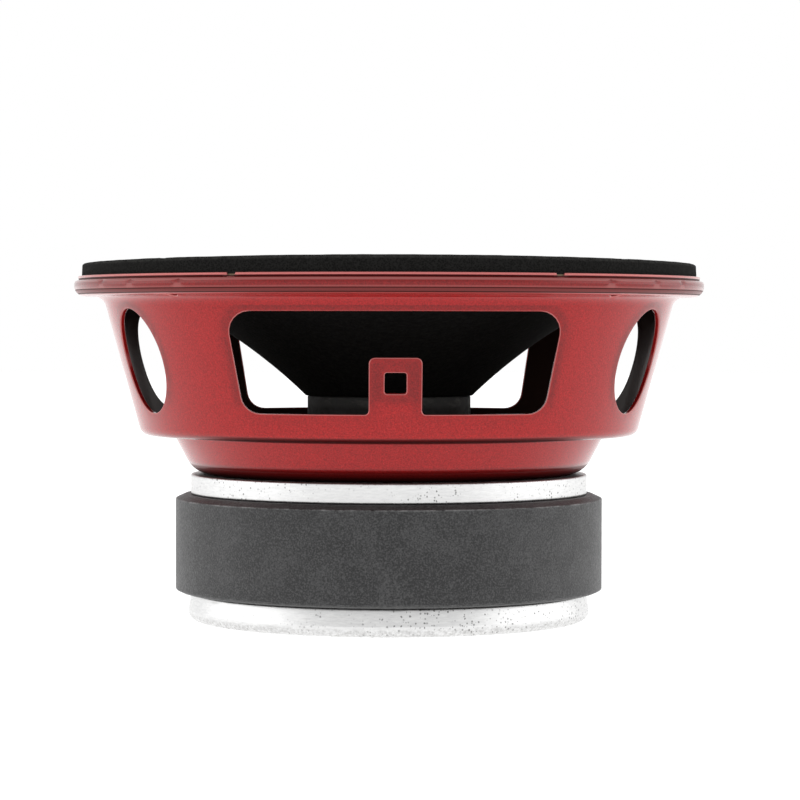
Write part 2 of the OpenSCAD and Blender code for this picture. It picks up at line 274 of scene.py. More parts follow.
def runTree(obj, tree, values):
    modifier = obj.modifiers.new(tree.name, "NODES")
    modifier.node_group = tree
    for item in tree.interface.items_tree:
        if item.in_out == "INPUT" and item.name in values:
            modifier[item.identifier] = values[item.name]
    graph = bpy.context.evaluated_depsgraph_get()
    mesh = bpy.data.meshes.new_from_object(obj.evaluated_get(graph), depsgraph=graph)
    obj.modifiers.remove(modifier)
    old = obj.data
    obj.data = mesh
    bpy.data.meshes.remove(old)
    return obj


def geometryEnd(tree, end, source, material):
    real = addNode(tree, "GeometryNodeRealizeInstances", {"Geometry": source})
    painted = addNode(tree, "GeometryNodeSetMaterial", {"Geometry": real.outputs[0], "Material": material})
    tree.links.new(painted.outputs[0], end.inputs[0])


geometrySockets = [("Geometry", "Geometry")]


# A profile in the XY plane, as radius and height, turned about Z, with a little unevenness
def makeTurnedTree():
    tree, start, end = newTree("turnedPiece", "GeometryNodeTree", [
        ("Geometry", "Geometry", None), ("Segments", "Int", 180), ("Guide", "Float", 0.03),
        ("Unevenness", "Float", 0.0), ("Lumps", "Float", 400.0), ("Seed", "Float", 3.0),
        ("Material", "Material", None)], geometrySockets)
    shift = addNode(tree, "ShaderNodeCombineXYZ", {
        "X": mathNode(tree, "MULTIPLY", start.outputs["Guide"], -1.0)})
    moved = addNode(tree, "GeometryNodeTransform", {
        "Geometry": start.outputs["Geometry"], "Translation": shift.outputs[0]}, {"Scale": (1, -1, 1)})
    profile = addNode(tree, "GeometryNodeMeshToCurve", {"Mesh": moved.outputs[0]})
    circle = addNode(tree, "GeometryNodeCurvePrimitiveCircle", {
        "Resolution": start.outputs["Segments"], "Radius": start.outputs["Guide"]})
    upright = addNode(tree, "GeometryNodeSetCurveNormal", {"Curve": circle.outputs["Curve"]})
    upright.mode = "Z_UP"
    swept = addNode(tree, "GeometryNodeCurveToMesh", {
        "Curve": upright.outputs[0], "Profile Curve": profile.outputs[0]})
    merged = addNode(tree, "GeometryNodeMergeByDistance", {"Geometry": swept.outputs[0]},
                     {"Distance": 1e-6})
    place = addNode(tree, "GeometryNodeInputPosition")
    noise = addNode(tree, "ShaderNodeTexNoise", {
        "Vector": place.outputs[0], "W": start.outputs["Seed"], "Scale": start.outputs["Lumps"]},
        {"Detail": 3.0}, noise_dimensions="4D")
    centred = mathNode(tree, "SUBTRACT", noise.outputs[0], 0.5)
    amount = mathNode(tree, "MULTIPLY", centred, start.outputs["Unevenness"])
    normal = addNode(tree, "GeometryNodeInputNormal")
    offset = addNode(tree, "ShaderNodeVectorMath", {
        0: normal.outputs[0], "Scale": amount}, operation="SCALE")
    uneven = addNode(tree, "GeometryNodeSetPosition", {
        "Geometry": merged.outputs[0], "Offset": offset.outputs[0]})
    geometryEnd(tree, end, uneven.outputs[0], start.outputs["Material"])
    return tree


# Upright round holes on a circle about Z, cut out of the piece
def makeHoleTree():
    tree, start, end = newTree("holeCircle", "GeometryNodeTree", [
        ("Geometry", "Geometry", None), ("Holes", "Int", 4), ("Circle", "Float", 0.0785),
        ("Radius", "Float", 0.00215), ("Turn", "Float", math.radians(45)), ("Middle", "Float", 0.09),
        ("Material", "Material", None)], geometrySockets)
    ring = addNode(tree, "GeometryNodeMeshCircle", {
        "Vertices": start.outputs["Holes"], "Radius": start.outputs["Circle"]})
    turn = addNode(tree, "ShaderNodeCombineXYZ", {"Z": start.outputs["Turn"]})
    lift = addNode(tree, "ShaderNodeCombineXYZ", {"Z": start.outputs["Middle"]})
    placed = addNode(tree, "GeometryNodeTransform", {
        "Geometry": ring.outputs[0], "Translation": lift.outputs[0], "Rotation": turn.outputs[0]})
    drill = addNode(tree, "GeometryNodeMeshCylinder", {"Radius": start.outputs["Radius"]},
                    {"Vertices": 40, "Depth": 0.03})
    drills = addNode(tree, "GeometryNodeInstanceOnPoints", {
        "Points": placed.outputs[0], "Instance": drill.outputs["Mesh"]})
    solid = addNode(tree, "GeometryNodeRealizeInstances", {"Geometry": drills.outputs[0]})
    cut = addNode(tree, "GeometryNodeMeshBoolean", {
        "Mesh 1": start.outputs["Geometry"], "Mesh 2": solid.outputs[0]},
        operation="DIFFERENCE", solver="EXACT")
    geometryEnd(tree, end, cut.outputs[0], start.outputs["Material"])
    return tree


# Copies of the piece stood on a circle about Z
def makeCopiesTree():
    tree, start, end = newTree("copiesOnCircle", "GeometryNodeTree", [
        ("Geometry", "Geometry", None), ("Copies", "Int", 4), ("Circle", "Float", 0.038),
        ("Turn", "Float", math.radians(45)), ("Material", "Material", None)], geometrySockets)
    ring = addNode(tree, "GeometryNodeMeshCircle", {
        "Vertices": start.outputs["Copies"], "Radius": start.outputs["Circle"]})
    turn = addNode(tree, "ShaderNodeCombineXYZ", {"Z": start.outputs["Turn"]})
    placed = addNode(tree, "GeometryNodeTransform", {
        "Geometry": ring.outputs[0], "Rotation": turn.outputs[0]})
    copies = addNode(tree, "GeometryNodeInstanceOnPoints", {
        "Points": placed.outputs[0], "Instance": start.outputs["Geometry"]})
    geometryEnd(tree, end, copies.outputs[0], start.outputs["Material"])
    return tree


# Strands laid round a route, twisted like a braided lead
def makeLeadTree():
    tree, start, end = newTree("twistedLead", "GeometryNodeTree", [
        ("Geometry", "Geometry", None), ("Strands", "Int", 6), ("Strand Radius", "Float", 0.00026),
        ("Lay Radius", "Float", 0.00042), ("Twists", "Float", 9.0), ("Material", "Material", None)],
        geometrySockets)
    route = addNode(tree, "GeometryNodeMeshToCurve", {"Mesh": start.outputs["Geometry"]})
    smooth = addNode(tree, "GeometryNodeCurveSplineType", {"Curve": route.outputs[0]},
                     spline_type="CATMULL_ROM")
    even = addNode(tree, "GeometryNodeResampleCurve", {"Curve": smooth.outputs[0]}, {"Count": 150})
    along = addNode(tree, "GeometryNodeSplineParameter")
    full = mathNode(tree, "MULTIPLY", start.outputs["Twists"], 2 * math.pi)
    twisted = addNode(tree, "GeometryNodeSetCurveTilt", {
        "Curve": even.outputs[0], "Tilt": mathNode(tree, "MULTIPLY", along.outputs["Factor"], full)})
    strand = addNode(tree, "GeometryNodeCurvePrimitiveCircle", {
        "Radius": start.outputs["Strand Radius"]}, {"Resolution": 7})
    places = addNode(tree, "GeometryNodeMeshCircle", {
        "Vertices": start.outputs["Strands"], "Radius": start.outputs["Lay Radius"]})
    bundle = addNode(tree, "GeometryNodeInstanceOnPoints", {
        "Points": places.outputs[0], "Instance": strand.outputs["Curve"]})
    loose = addNode(tree, "GeometryNodeRealizeInstances", {"Geometry": bundle.outputs[0]})
    swept = addNode(tree, "GeometryNodeCurveToMesh", {
        "Curve": twisted.outputs[0], "Profile Curve": loose.outputs[0]}, {"Fill Caps": True})
    geometryEnd(tree, end, swept.outputs[0], start.outputs["Material"])
    return tree


turnedTree = makeTurnedTree()
holeTree = makeHoleTree()
copiesTree = makeCopiesTree()
leadTree = makeLeadTree()


def turned(name, profile, slot, segments=180, closed=True, unevenness=0.0, lumps=400.0, seed=3.0):
    count = len(profile)
    edges = [(i, i + 1) for i in range(count - 1)] + ([(count - 1, 0)] if closed else [])
    obj = makeObject(name, [(r, z, 0) for r, z in profile], [], edges)
    guide = max(r for r, z in profile) * mm / 2
    return runTree(obj, turnedTree, {
        "Segments": segments, "Guide": guide, "Unevenness": unevenness * mm, "Lumps": lumps, "Seed": seed,
        "Material": finishes[slot]})


def drilled(obj, slot):
    return runTree(obj, holeTree, {
        "Holes": len(mountAngles), "Circle": mountRadius * mm, "Radius": mountHole * mm,
        "Material": finishes[slot]})


# Shader helpers, and the groups that more than one material uses

def objectPlace(tree):
    return addNode(tree, "ShaderNodeTexCoord").outputs["Object"]


def heightOf(tree, vector):
    return addNode(tree, "ShaderNodeSeparateXYZ", {0: vector}).outputs["Z"]


def maskOf(tree, name):
    return addNode(tree, "ShaderNodeAttribute", attribute_name=name).outputs["Fac"]


def makeGrainGroup():
    tree, start, end = newTree("surfaceGrain", "ShaderNodeTree", [
        ("Scale", "Float", 900.0), ("Detail", "Float", 4.0), ("Stretch", "Vector", (1, 1, 1)),
        ("Depth", "Float", 0.0001)], [("Value", "Float"), ("Normal", "Vector")])
    mapped = addNode(tree, "ShaderNodeMapping", {
        "Vector": objectPlace(tree), "Scale": start.outputs["Stretch"]})
    noise = addNode(tree, "ShaderNodeTexNoise", {
        "Vector": mapped.outputs[0], "Scale": start.outputs["Scale"], "Detail": start.outputs["Detail"]},
        {"Roughness": 0.6})
    bump = addNode(tree, "ShaderNodeBump", {"Height": noise.outputs[0], "Distance": start.outputs["Depth"]})
    tree.links.new(noise.outputs[0], end.inputs["Value"])
    tree.links.new(bump.outputs[0], end.inputs["Normal"])
    return tree


def makeSpeckGroup():
    tree, start, end = newTree("specks", "ShaderNodeTree", [
        ("Scale", "Float", 500.0), ("Size", "Float", 0.25), ("Share", "Float", 0.3),
        ("Stretch", "Vector", (1, 1, 1))], [("Mask", "Float")])
    mapped = addNode(tree, "ShaderNodeMapping", {
        "Vector": objectPlace(tree), "Scale": start.outputs["Stretch"]})
    cells = addNode(tree, "ShaderNodeTexVoronoi", {
        "Vector": mapped.outputs[0], "Scale": start.outputs["Scale"]})
    pick = addNode(tree, "ShaderNodeSeparateColor", {0: cells.outputs["Color"]})
    chosen = mathNode(tree, "LESS_THAN", pick.outputs[0], start.outputs["Share"])
    dot = addNode(tree, "ShaderNodeMapRange", {
        "Value": cells.outputs["Distance"],
        "From Max": mathNode(tree, "MULTIPLY", pick.outputs[1], start.outputs["Size"])},
        {"From Min": 0.0, "To Min": 1.0, "To Max": 0.0})
    tree.links.new(mathNode(tree, "MULTIPLY", chosen, dot.outputs[0]), end.inputs["Mask"])
    return tree


def makeWearGroup():
    tree, start, end = newTree("edgeWear", "ShaderNodeTree", [
        ("Scale", "Float", 700.0), ("Amount", "Float", 0.5)], [("Mask", "Float")])
    noise = addNode(tree, "ShaderNodeTexNoise", {
        "Vector": objectPlace(tree), "Scale": start.outputs["Scale"]}, {"Detail": 5.0, "Roughness": 0.65})
    worn = addNode(tree, "ShaderNodeMapRange", {
        "Value": noise.outputs[0], "From Min": mathNode(tree, "SUBTRACT", 1.0, start.outputs["Amount"])},
        {"From Max": 0.85})
    mask = mathNode(tree, "MULTIPLY", worn.outputs[0], maskOf(tree, "edgeMask"), use_clamp=True)
    tree.links.new(mask, end.inputs["Mask"])
    return tree


grainGroup = makeGrainGroup()
speckGroup = makeSpeckGroup()
wearGroup = makeWearGroup()


def newMaterial(name, color, roughness, **sockets):
    material = bpy.data.materials.new(name)
    material.use_nodes = True
    tree = material.node_tree
    shader = tree.nodes["Principled BSDF"]
    shader.inputs["Base Color"].default_value = (*color, 1)
    shader.inputs["Roughness"].default_value = roughness
    for key, value in sockets.items():
        shader.inputs[key.replace("_", " ")].default_value = value
    material.diffuse_color = (*color, 1)
    return material, tree, shader


def addGroup(tree, group, **values):
    return addNode(tree, "ShaderNodeGroup", None, values, node_tree=group)


def grey(value):
    return (value, value, value)


def mixColors(tree, mask, low, high):
    node = addNode(tree, "ShaderNodeMix", data_type="RGBA")
    tree.links.new(mask, node.inputs[0])
    for index, value in ((6, low), (7, high)):
        if isinstance(value, tuple):
            node.inputs[index].default_value = (*value, 1)
        else:
            tree.links.new(value, node.inputs[index])
    return node.outputs[2]


def spreadValue(tree, source, low, high, fromLow=0.3, fromHigh=0.7):
    node = addNode(tree, "ShaderNodeMapRange", {"Value": source}, {
        "From Min": fromLow, "From Max": fromHigh, "To Min": low, "To Max": high})
    return node.outputs[0]


# Lays a colour over another where a group's first output, or a mask, lies in the span
def layer(tree, under, color, mask, share, span=(0, 1)):
    source = mask.outputs[0] if isinstance(mask, bpy.types.Node) else mask
    return mixColors(tree, spreadValue(tree, source, *share, *span), under, color)


def plainFinish(name, low, high, roughness, scale, depth, detail=4.0, stretch=(1, 1, 1), **sockets):
    middle = tuple((a + b) / 2 for a, b in zip(low, high))
    material, tree, shader = newMaterial(name, middle, roughness[0], **sockets)
    grain = addGroup(tree, grainGroup, Scale=scale, Detail=detail, Depth=depth * mm, Stretch=stretch)
    value = grain.outputs["Value"]
    tree.links.new(mixColors(tree, spreadValue(tree, value, 0, 1), low, high), shader.inputs["Base Color"])
    tree.links.new(spreadValue(tree, value, roughness[0], roughness[1]), shader.inputs["Roughness"])
    tree.links.new(grain.outputs["Normal"], shader.inputs["Normal"])
    return material


# The tree, shader and present colour of a finish that gets more layers
def openFinish(material):
    tree = material.node_tree
    shader = tree.nodes["Principled BSDF"]
    return tree, shader, shader.inputs["Base Color"].links[0].from_socket


# A dark band round the object between two heights, soft at its edges
def heightBand(tree, low, high, soft=0.08):
    z = heightOf(tree, objectPlace(tree))
    rise = spreadValue(tree, z, 0, 1, (low - soft) * mm, (low + soft) * mm)
    fall = spreadValue(tree, z, 1, 0, (high - soft) * mm, (high + soft) * mm)
    return mathNode(tree, "MULTIPLY", rise, fall)


def larger(tree, a, b):
    return mathNode(tree, "MAXIMUM", a, b, use_clamp=True)


# Red metallic lacquer on the pressed steel: a painted highlight along the cut edges, darker in a band beside
# them, and painted shade in the creases and under the bead of the rim, on the down-facing bottom corners and
# all over the inside, with less coat in all of these
def makeLacquer():
    material = plainFinish(
        "redLacquer", (0.2, 0.003, 0.003), (0.46, 0.011, 0.011), (0.34, 0.46), 2600, 0.02,
        Metallic=0.3, Specular_IOR_Level=0.0, Coat_Roughness=0.14, Coat_IOR=1.4)
    tree, shader, base = openFinish(material)
    flake = addGroup(tree, speckGroup, Scale=3000, Size=0.7, Share=0.35)
    flaked = layer(tree, base, (0.6, 0.03, 0.03), flake, (0, 0.4))
    specks = addGroup(tree, speckGroup, Scale=260, Size=0.16, Share=0.06)
    speckled = layer(tree, flaked, (0.12, 0.03, 0.025), specks, (0, 0.35))
    # Painted highlight: a paler pink laid along the rounded cut edges, where edgeMask is high
    paintedEdgeHighlight = layer(tree, speckled, (0.6, 0.18, 0.17), maskOf(tree, "edgeMask"), (0, 0.85), (0.5, 0.75))
    # Painted shade: thin dark lines in the creases of the rim and a broader shaded band under the bead,
    # placed by height
    rimCreaseShade = larger(tree, heightBand(tree, flangeZ + 1.35, flangeZ + 1.7),
                     heightBand(tree, flangeZ + 0.38, flangeZ + 0.74))
    rimGrooveShade = larger(tree, heightBand(tree, flangeZ + 4.15, flangeZ + 4.6), rimCreaseShade)
    under = spreadValue(tree, heightBand(tree, flangeZ + 0.5, flangeZ + 1.5), 0, 0.68, 0, 1)
    rimShadeLines = larger(tree, spreadValue(tree, rimGrooveShade, 0, 0.92, 0, 1), under)
    # shadeMask brings a darker band beside the wall holes and painted shade on the bead, lip and down-facing
    # bottom corners; insideMask brings painted shade over the whole inside; the coat is thinned wherever any
    # of them is high
    shadeAndEdgeBand = larger(tree, rimShadeLines, maskOf(tree, "shadeMask"))
    inside = maskOf(tree, "insideMask")
    dark = mixColors(tree, shadeAndEdgeBand, paintedEdgeHighlight, (0.02, 0.0025, 0.0025))
    # Painted shade: every inside face of the sheet turned brown-black
    paintedInsideShade = mixColors(tree, inside, dark, (0.034, 0.016, 0.013))
    shadeBandAndInside = larger(tree, shadeAndEdgeBand, inside)
    tree.links.new(paintedInsideShade, shader.inputs["Base Color"])
    tree.links.new(spreadValue(tree, shadeBandAndInside, 1, 0.15, 0.45, 0.8), shader.inputs["Coat Weight"])
    return material


# Zinc plate: pale, with short dark marks that gather in patches, faint streaks, and wear at the edges
def makeZinc():
    material = plainFinish(
        "brightZinc", (0.66, 0.66, 0.66), (0.82, 0.82, 0.815), (0.3, 0.42), 1500, 0.01, detail=5.0,
        stretch=(0.3, 0.3, 1.5), Metallic=1.0)
    tree, shader, base = openFinish(material)
    patches = addGroup(tree, grainGroup, Scale=95, Detail=3.0, Stretch=(0.6, 0.6, 1))
    marks = addGroup(tree, speckGroup, Scale=1700, Size=0.7, Share=0.4)
    gathered = mathNode(tree, "MULTIPLY", spreadValue(tree, patches.outputs["Value"], 0.04, 1, 0.45, 0.58),
                        marks.outputs["Mask"])
    marked = layer(tree, base, grey(0.12), gathered, (0, 0.85), (0, 0.6))
    streaks = addGroup(tree, speckGroup, Scale=520, Size=0.5, Share=0.1, Stretch=(0.3, 0.3, 2.2))
    streaked = layer(tree, marked, (0.3, 0.3, 0.29), streaks, (0, 0.5))
    wear = addGroup(tree, wearGroup, Scale=1300, Amount=0.6)
    worn = layer(tree, streaked, (0.2, 0.19, 0.18), wear, (0, 0.75), (0, 0.6))
    tree.links.new(worn, shader.inputs["Base Color"])
    return material


# Sintered ferrite, ground flat: a mottled grain, with chipped edges except underneath
def makeFerrite():
    material = plainFinish(
        "ferrite", (0.006, 0.006, 0.0065), (0.02, 0.02, 0.021), (0.36, 0.6), 1500, 0.05, detail=6.0)
    tree, shader, base = openFinish(material)
    cloud = addGroup(tree, grainGroup, Scale=120, Detail=4.0)
    clouded = layer(tree, base, (0.034, 0.034, 0.035), cloud, (0, 0.75), (0.44, 0.6))
    grains = addGroup(tree, grainGroup, Scale=2300, Detail=2.0)
    mottled = layer(tree, clouded, (0.062, 0.062, 0.063), grains, (0, 0.8), (0.5, 0.64))
    pits = layer(tree, mottled, grey(0.002), grains, (0.85, 0), (0.36, 0.48))
    specks = addGroup(tree, speckGroup, Scale=700, Size=0.3, Share=0.1)
    speckled = layer(tree, pits, grey(0.1), specks, (0, 0.5))
    wear = addGroup(tree, wearGroup, Scale=520, Amount=0.6)
    facing = heightOf(tree, addNode(tree, "ShaderNodeNewGeometry").outputs["Normal"])
    upper = mathNode(tree, "MULTIPLY", spreadValue(tree, facing, 0, 1, -0.3, -0.1), wear.outputs["Mask"])
    chipped = layer(tree, speckled, grey(0.22), upper, (0, 0.9), (0, 0.5))
    tree.links.new(chipped, shader.inputs["Base Color"])
    return material


# Closed-cell foam, with fine open cells along its cut faces
def makeFoam():
    material, tree, shader = newMaterial("gasketFoam", (0.005, 0.005, 0.0045), 0.9, Specular_IOR_Level=0.06)
    cells = addNode(tree, "ShaderNodeTexVoronoi", {"Vector": objectPlace(tree)}, {"Scale": 2300.0})
    distance = cells.outputs["Distance"]
    fine = addGroup(tree, grainGroup, Scale=900, Detail=5.0, Depth=0.05 * mm)
    bump = addNode(tree, "ShaderNodeBump", {"Height": distance, "Normal": fine.outputs["Normal"]},
                   {"Distance": 0.12 * mm})
    walls = mixColors(tree, spreadValue(tree, distance, 0, 1, 0.1, 0.7), (0.0035, 0.0035, 0.0032),
                      (0.014, 0.0137, 0.013))
    wear = addGroup(tree, wearGroup, Scale=800, Amount=0.7)
    scuffed = layer(tree, walls, (0.09, 0.088, 0.083), wear, (0, 0.5), (0, 0.7))
    tree.links.new(scuffed, shader.inputs["Base Color"])
    tree.links.new(bump.outputs[0], shader.inputs["Normal"])
    return material


# Felted paper: short fibres lie in every direction, some catch the light
def makePaper(name, low, high, roughness, coat):
    material, tree, shader = newMaterial(name, low, roughness, Coat_Weight=coat, Coat_Roughness=0.35,
                                         Specular_IOR_Level=0.14)
    fibres = addGroup(tree, grainGroup, Scale=1400, Detail=6.0, Depth=0.09 * mm, Stretch=(1, 0.4, 1))
    across = addGroup(tree, grainGroup, Scale=1200, Detail=6.0, Depth=0.09 * mm, Stretch=(0.4, 1, 0.8))
    both = mathNode(tree, "MULTIPLY", fibres.outputs["Value"], across.outputs["Value"])
    bump = addNode(tree, "ShaderNodeBump", {"Height": both, "Normal": fibres.outputs["Normal"]},
                   {"Distance": 0.18 * mm})
    tree.links.new(layer(tree, low, high, both, (0, 1), (0.16, 0.36)), shader.inputs["Base Color"])
    tree.links.new(bump.outputs[0], shader.inputs["Normal"])
    return material


# Collar at the cone's neck: dark card with dried glue wiped over it, and painted shade at its foot
def makeCollarFinish():
    material = plainFinish(
        "collarCard", (0.02, 0.019, 0.018), (0.045, 0.043, 0.041), (0.5, 0.75), 700, 0.08)
    tree, shader, base = openFinish(material)
    smear = addGroup(tree, grainGroup, Scale=150, Detail=5.0, Stretch=(1, 1, 2.4))
    glue = layer(tree, base, (0.1, 0.095, 0.088), smear, (0, 0.85), (0.52, 0.66))
    z = heightOf(tree, objectPlace(tree))
    # Painted shade: near-black below just above sill height, where the collar meets the spider
    foot = layer(tree, glue, (0.006, 0.004, 0.0035), z, (1, 0), (sillZ * mm, (sillZ + 1.1) * mm))
    tree.links.new(foot, shader.inputs["Base Color"])
    return material


# Woven cloth stiffened with resin
def makeCloth():
    material, tree, shader = newMaterial("spiderCloth", (0.36, 0.24, 0.1), 0.8, Sheen_Weight=0.25)
    threads = []
    for way in ("X", "Y"):
        wave = addNode(tree, "ShaderNodeTexWave", {"Vector": objectPlace(tree)}, {"Scale": 520.0},
                       bands_direction=way)
        threads.append(wave.outputs["Fac"])
    weave = mathNode(tree, "MAXIMUM", *threads)
    bump = addNode(tree, "ShaderNodeBump", {"Height": weave}, {"Distance": 0.12 * mm})
    color = mixColors(tree, weave, (0.2, 0.12, 0.04), (0.5, 0.36, 0.17))
    stain = addGroup(tree, grainGroup, Scale=260, Detail=3.0)
    tree.links.new(layer(tree, color, (0.24, 0.14, 0.05), stain, (0, 0.5), (0.45, 0.7)),
                   shader.inputs["Base Color"])
    tree.links.new(bump.outputs[0], shader.inputs["Normal"])
    return material


# Every finish under the name of its slot
finishes = {
    "red_paint": makeLacquer(),
    "foam": makeFoam(),
    "fibreboard": plainFinish("fibreboard", (0.16, 0.11, 0.07), (0.3, 0.22, 0.14), (0.75, 0.9), 900, 0.1),
    "surround_rubber": plainFinish("surroundRubber", grey(0.009), grey(0.016), (0.42, 0.6), 1700, 0.02,
                                   Specular_IOR_Level=0.4),
    "spider_cloth": makeCloth(),
    "cone_paper": makePaper("conePaper", (0.0022, 0.0019, 0.0019), (0.009, 0.0083, 0.008), 0.85, 0.0),
    "cap_paper": makePaper("capPaper", grey(0.003), grey(0.011), 0.6, 0.12),
    "collar_paper": makeCollarFinish(),
    "former_paper": plainFinish("formerPaper", (0.4, 0.28, 0.12), (0.55, 0.42, 0.22), (0.6, 0.8), 800,
                                0.05),
    "copper": plainFinish("copper", (0.72, 0.32, 0.17), (0.9, 0.46, 0.28), (0.22, 0.36), 1600, 0.01,
                          Metallic=1.0),
    "brass_trim": plainFinish("brass", (0.72, 0.54, 0.24), (0.88, 0.7, 0.36), (0.2, 0.34), 1500, 0.01,
                              Metallic=1.0),
    "zinc": makeZinc(),
    "ferrite": makeFerrite(),
    "black_steel": plainFinish("blackSteel", grey(0.02), grey(0.045), (0.35, 0.5), 1500, 0.02,
                               Metallic=0.6),
    "phenolic": plainFinish("phenolicBoard", (0.012, 0.01, 0.009), (0.03, 0.026, 0.022), (0.45, 0.6), 900,
                            0.03, stretch=(1, 1, 0.3)),
    "nylon": plainFinish("blackNylon", grey(0.014), grey(0.024), (0.4, 0.52), 1300, 0.02),
    "solder": plainFinish("solder", (0.55, 0.55, 0.57), (0.8, 0.8, 0.82), (0.18, 0.34), 1100, 0.03,
                          Metallic=1.0),
    "tinsel": plainFinish("tinsel", (0.55, 0.4, 0.2), (0.9, 0.72, 0.45), (0.3, 0.5), 2500, 0.03,
                          Metallic=1.0),
}
print("stage: finishes made")


# The pressed basket: one sheet, with windows and mounting holes punched through it

basketShape = {
    "columns": 240,
    "bevel": 0.3,
    "beadShade": 0.42,
    "metric": 70.3,  # radius at which turns about Z become lengths along the wall
    "path": [(24, level["base"]), (51.3, level["base"]), (56.83, shelfZ), (wallFoot, shelfZ),
             (wallTop, flangeZ), (83, flangeZ), (83, flangeZ + 2.75)],
    "radii": [0, 7, 1.2, 2.6, 3.4, 2.7, 0],
    "lip": [(82.97, flangeZ + 3.3), (82.85, flangeZ + 3.7), (82.6, flangeZ + 3.95), (82.2, flangeZ + 4.08),
            (81.95, flangeZ + 4.12), (81.82, flangeZ + 4.22), (81.8, flangeZ + 4.5), (81.95, flangeZ + 4.72),
            (81.97, level["lip"] - 0.2), (81.9, level["lip"] - 0.06), (81.76, level["lip"]),
            (81.62, level["lip"]), (81.5, level["lip"] - 0.08), (81.42, level["lip"] - 0.25),
            (81.42, flangeZ + 4.3), (81.5, flangeZ + 3.6), (81.75, flangeZ + 3.0)],
    "dents": {"angles": [62, 52, 39.6, -39.6, -52, -62], "depth": 0.35, "rise": 3.5, "high": 0.5,
              "wide": 1.25},
    "notches": {"angles": [29, -29], "depth": 0.75},
    "window": {"sill": 36.9, "top": 41.4, "height": 25.1, "radii": [4.9, 1, 1.5, 1.5, 1, 4.9, 4.9, 4.9]},
    "tab": {"halfWidth": 6.5, "height": 13.9},
    "rear": {"drop": 1.8, "ease": 1.2},  # how much lower and wider the rear window is
    "sideWindow": {"halfWidth": 12.0, "halfHeight": 13.3, "turns": (-64.5, 63.1)},
}


def smoothStep(value):
    value = max(0.0, min(1.0, value))
    return value * value * (3 - 2 * value)


def turnBetween(a, b):
    return (a - b + math.pi) % (2 * math.pi) - math.pi


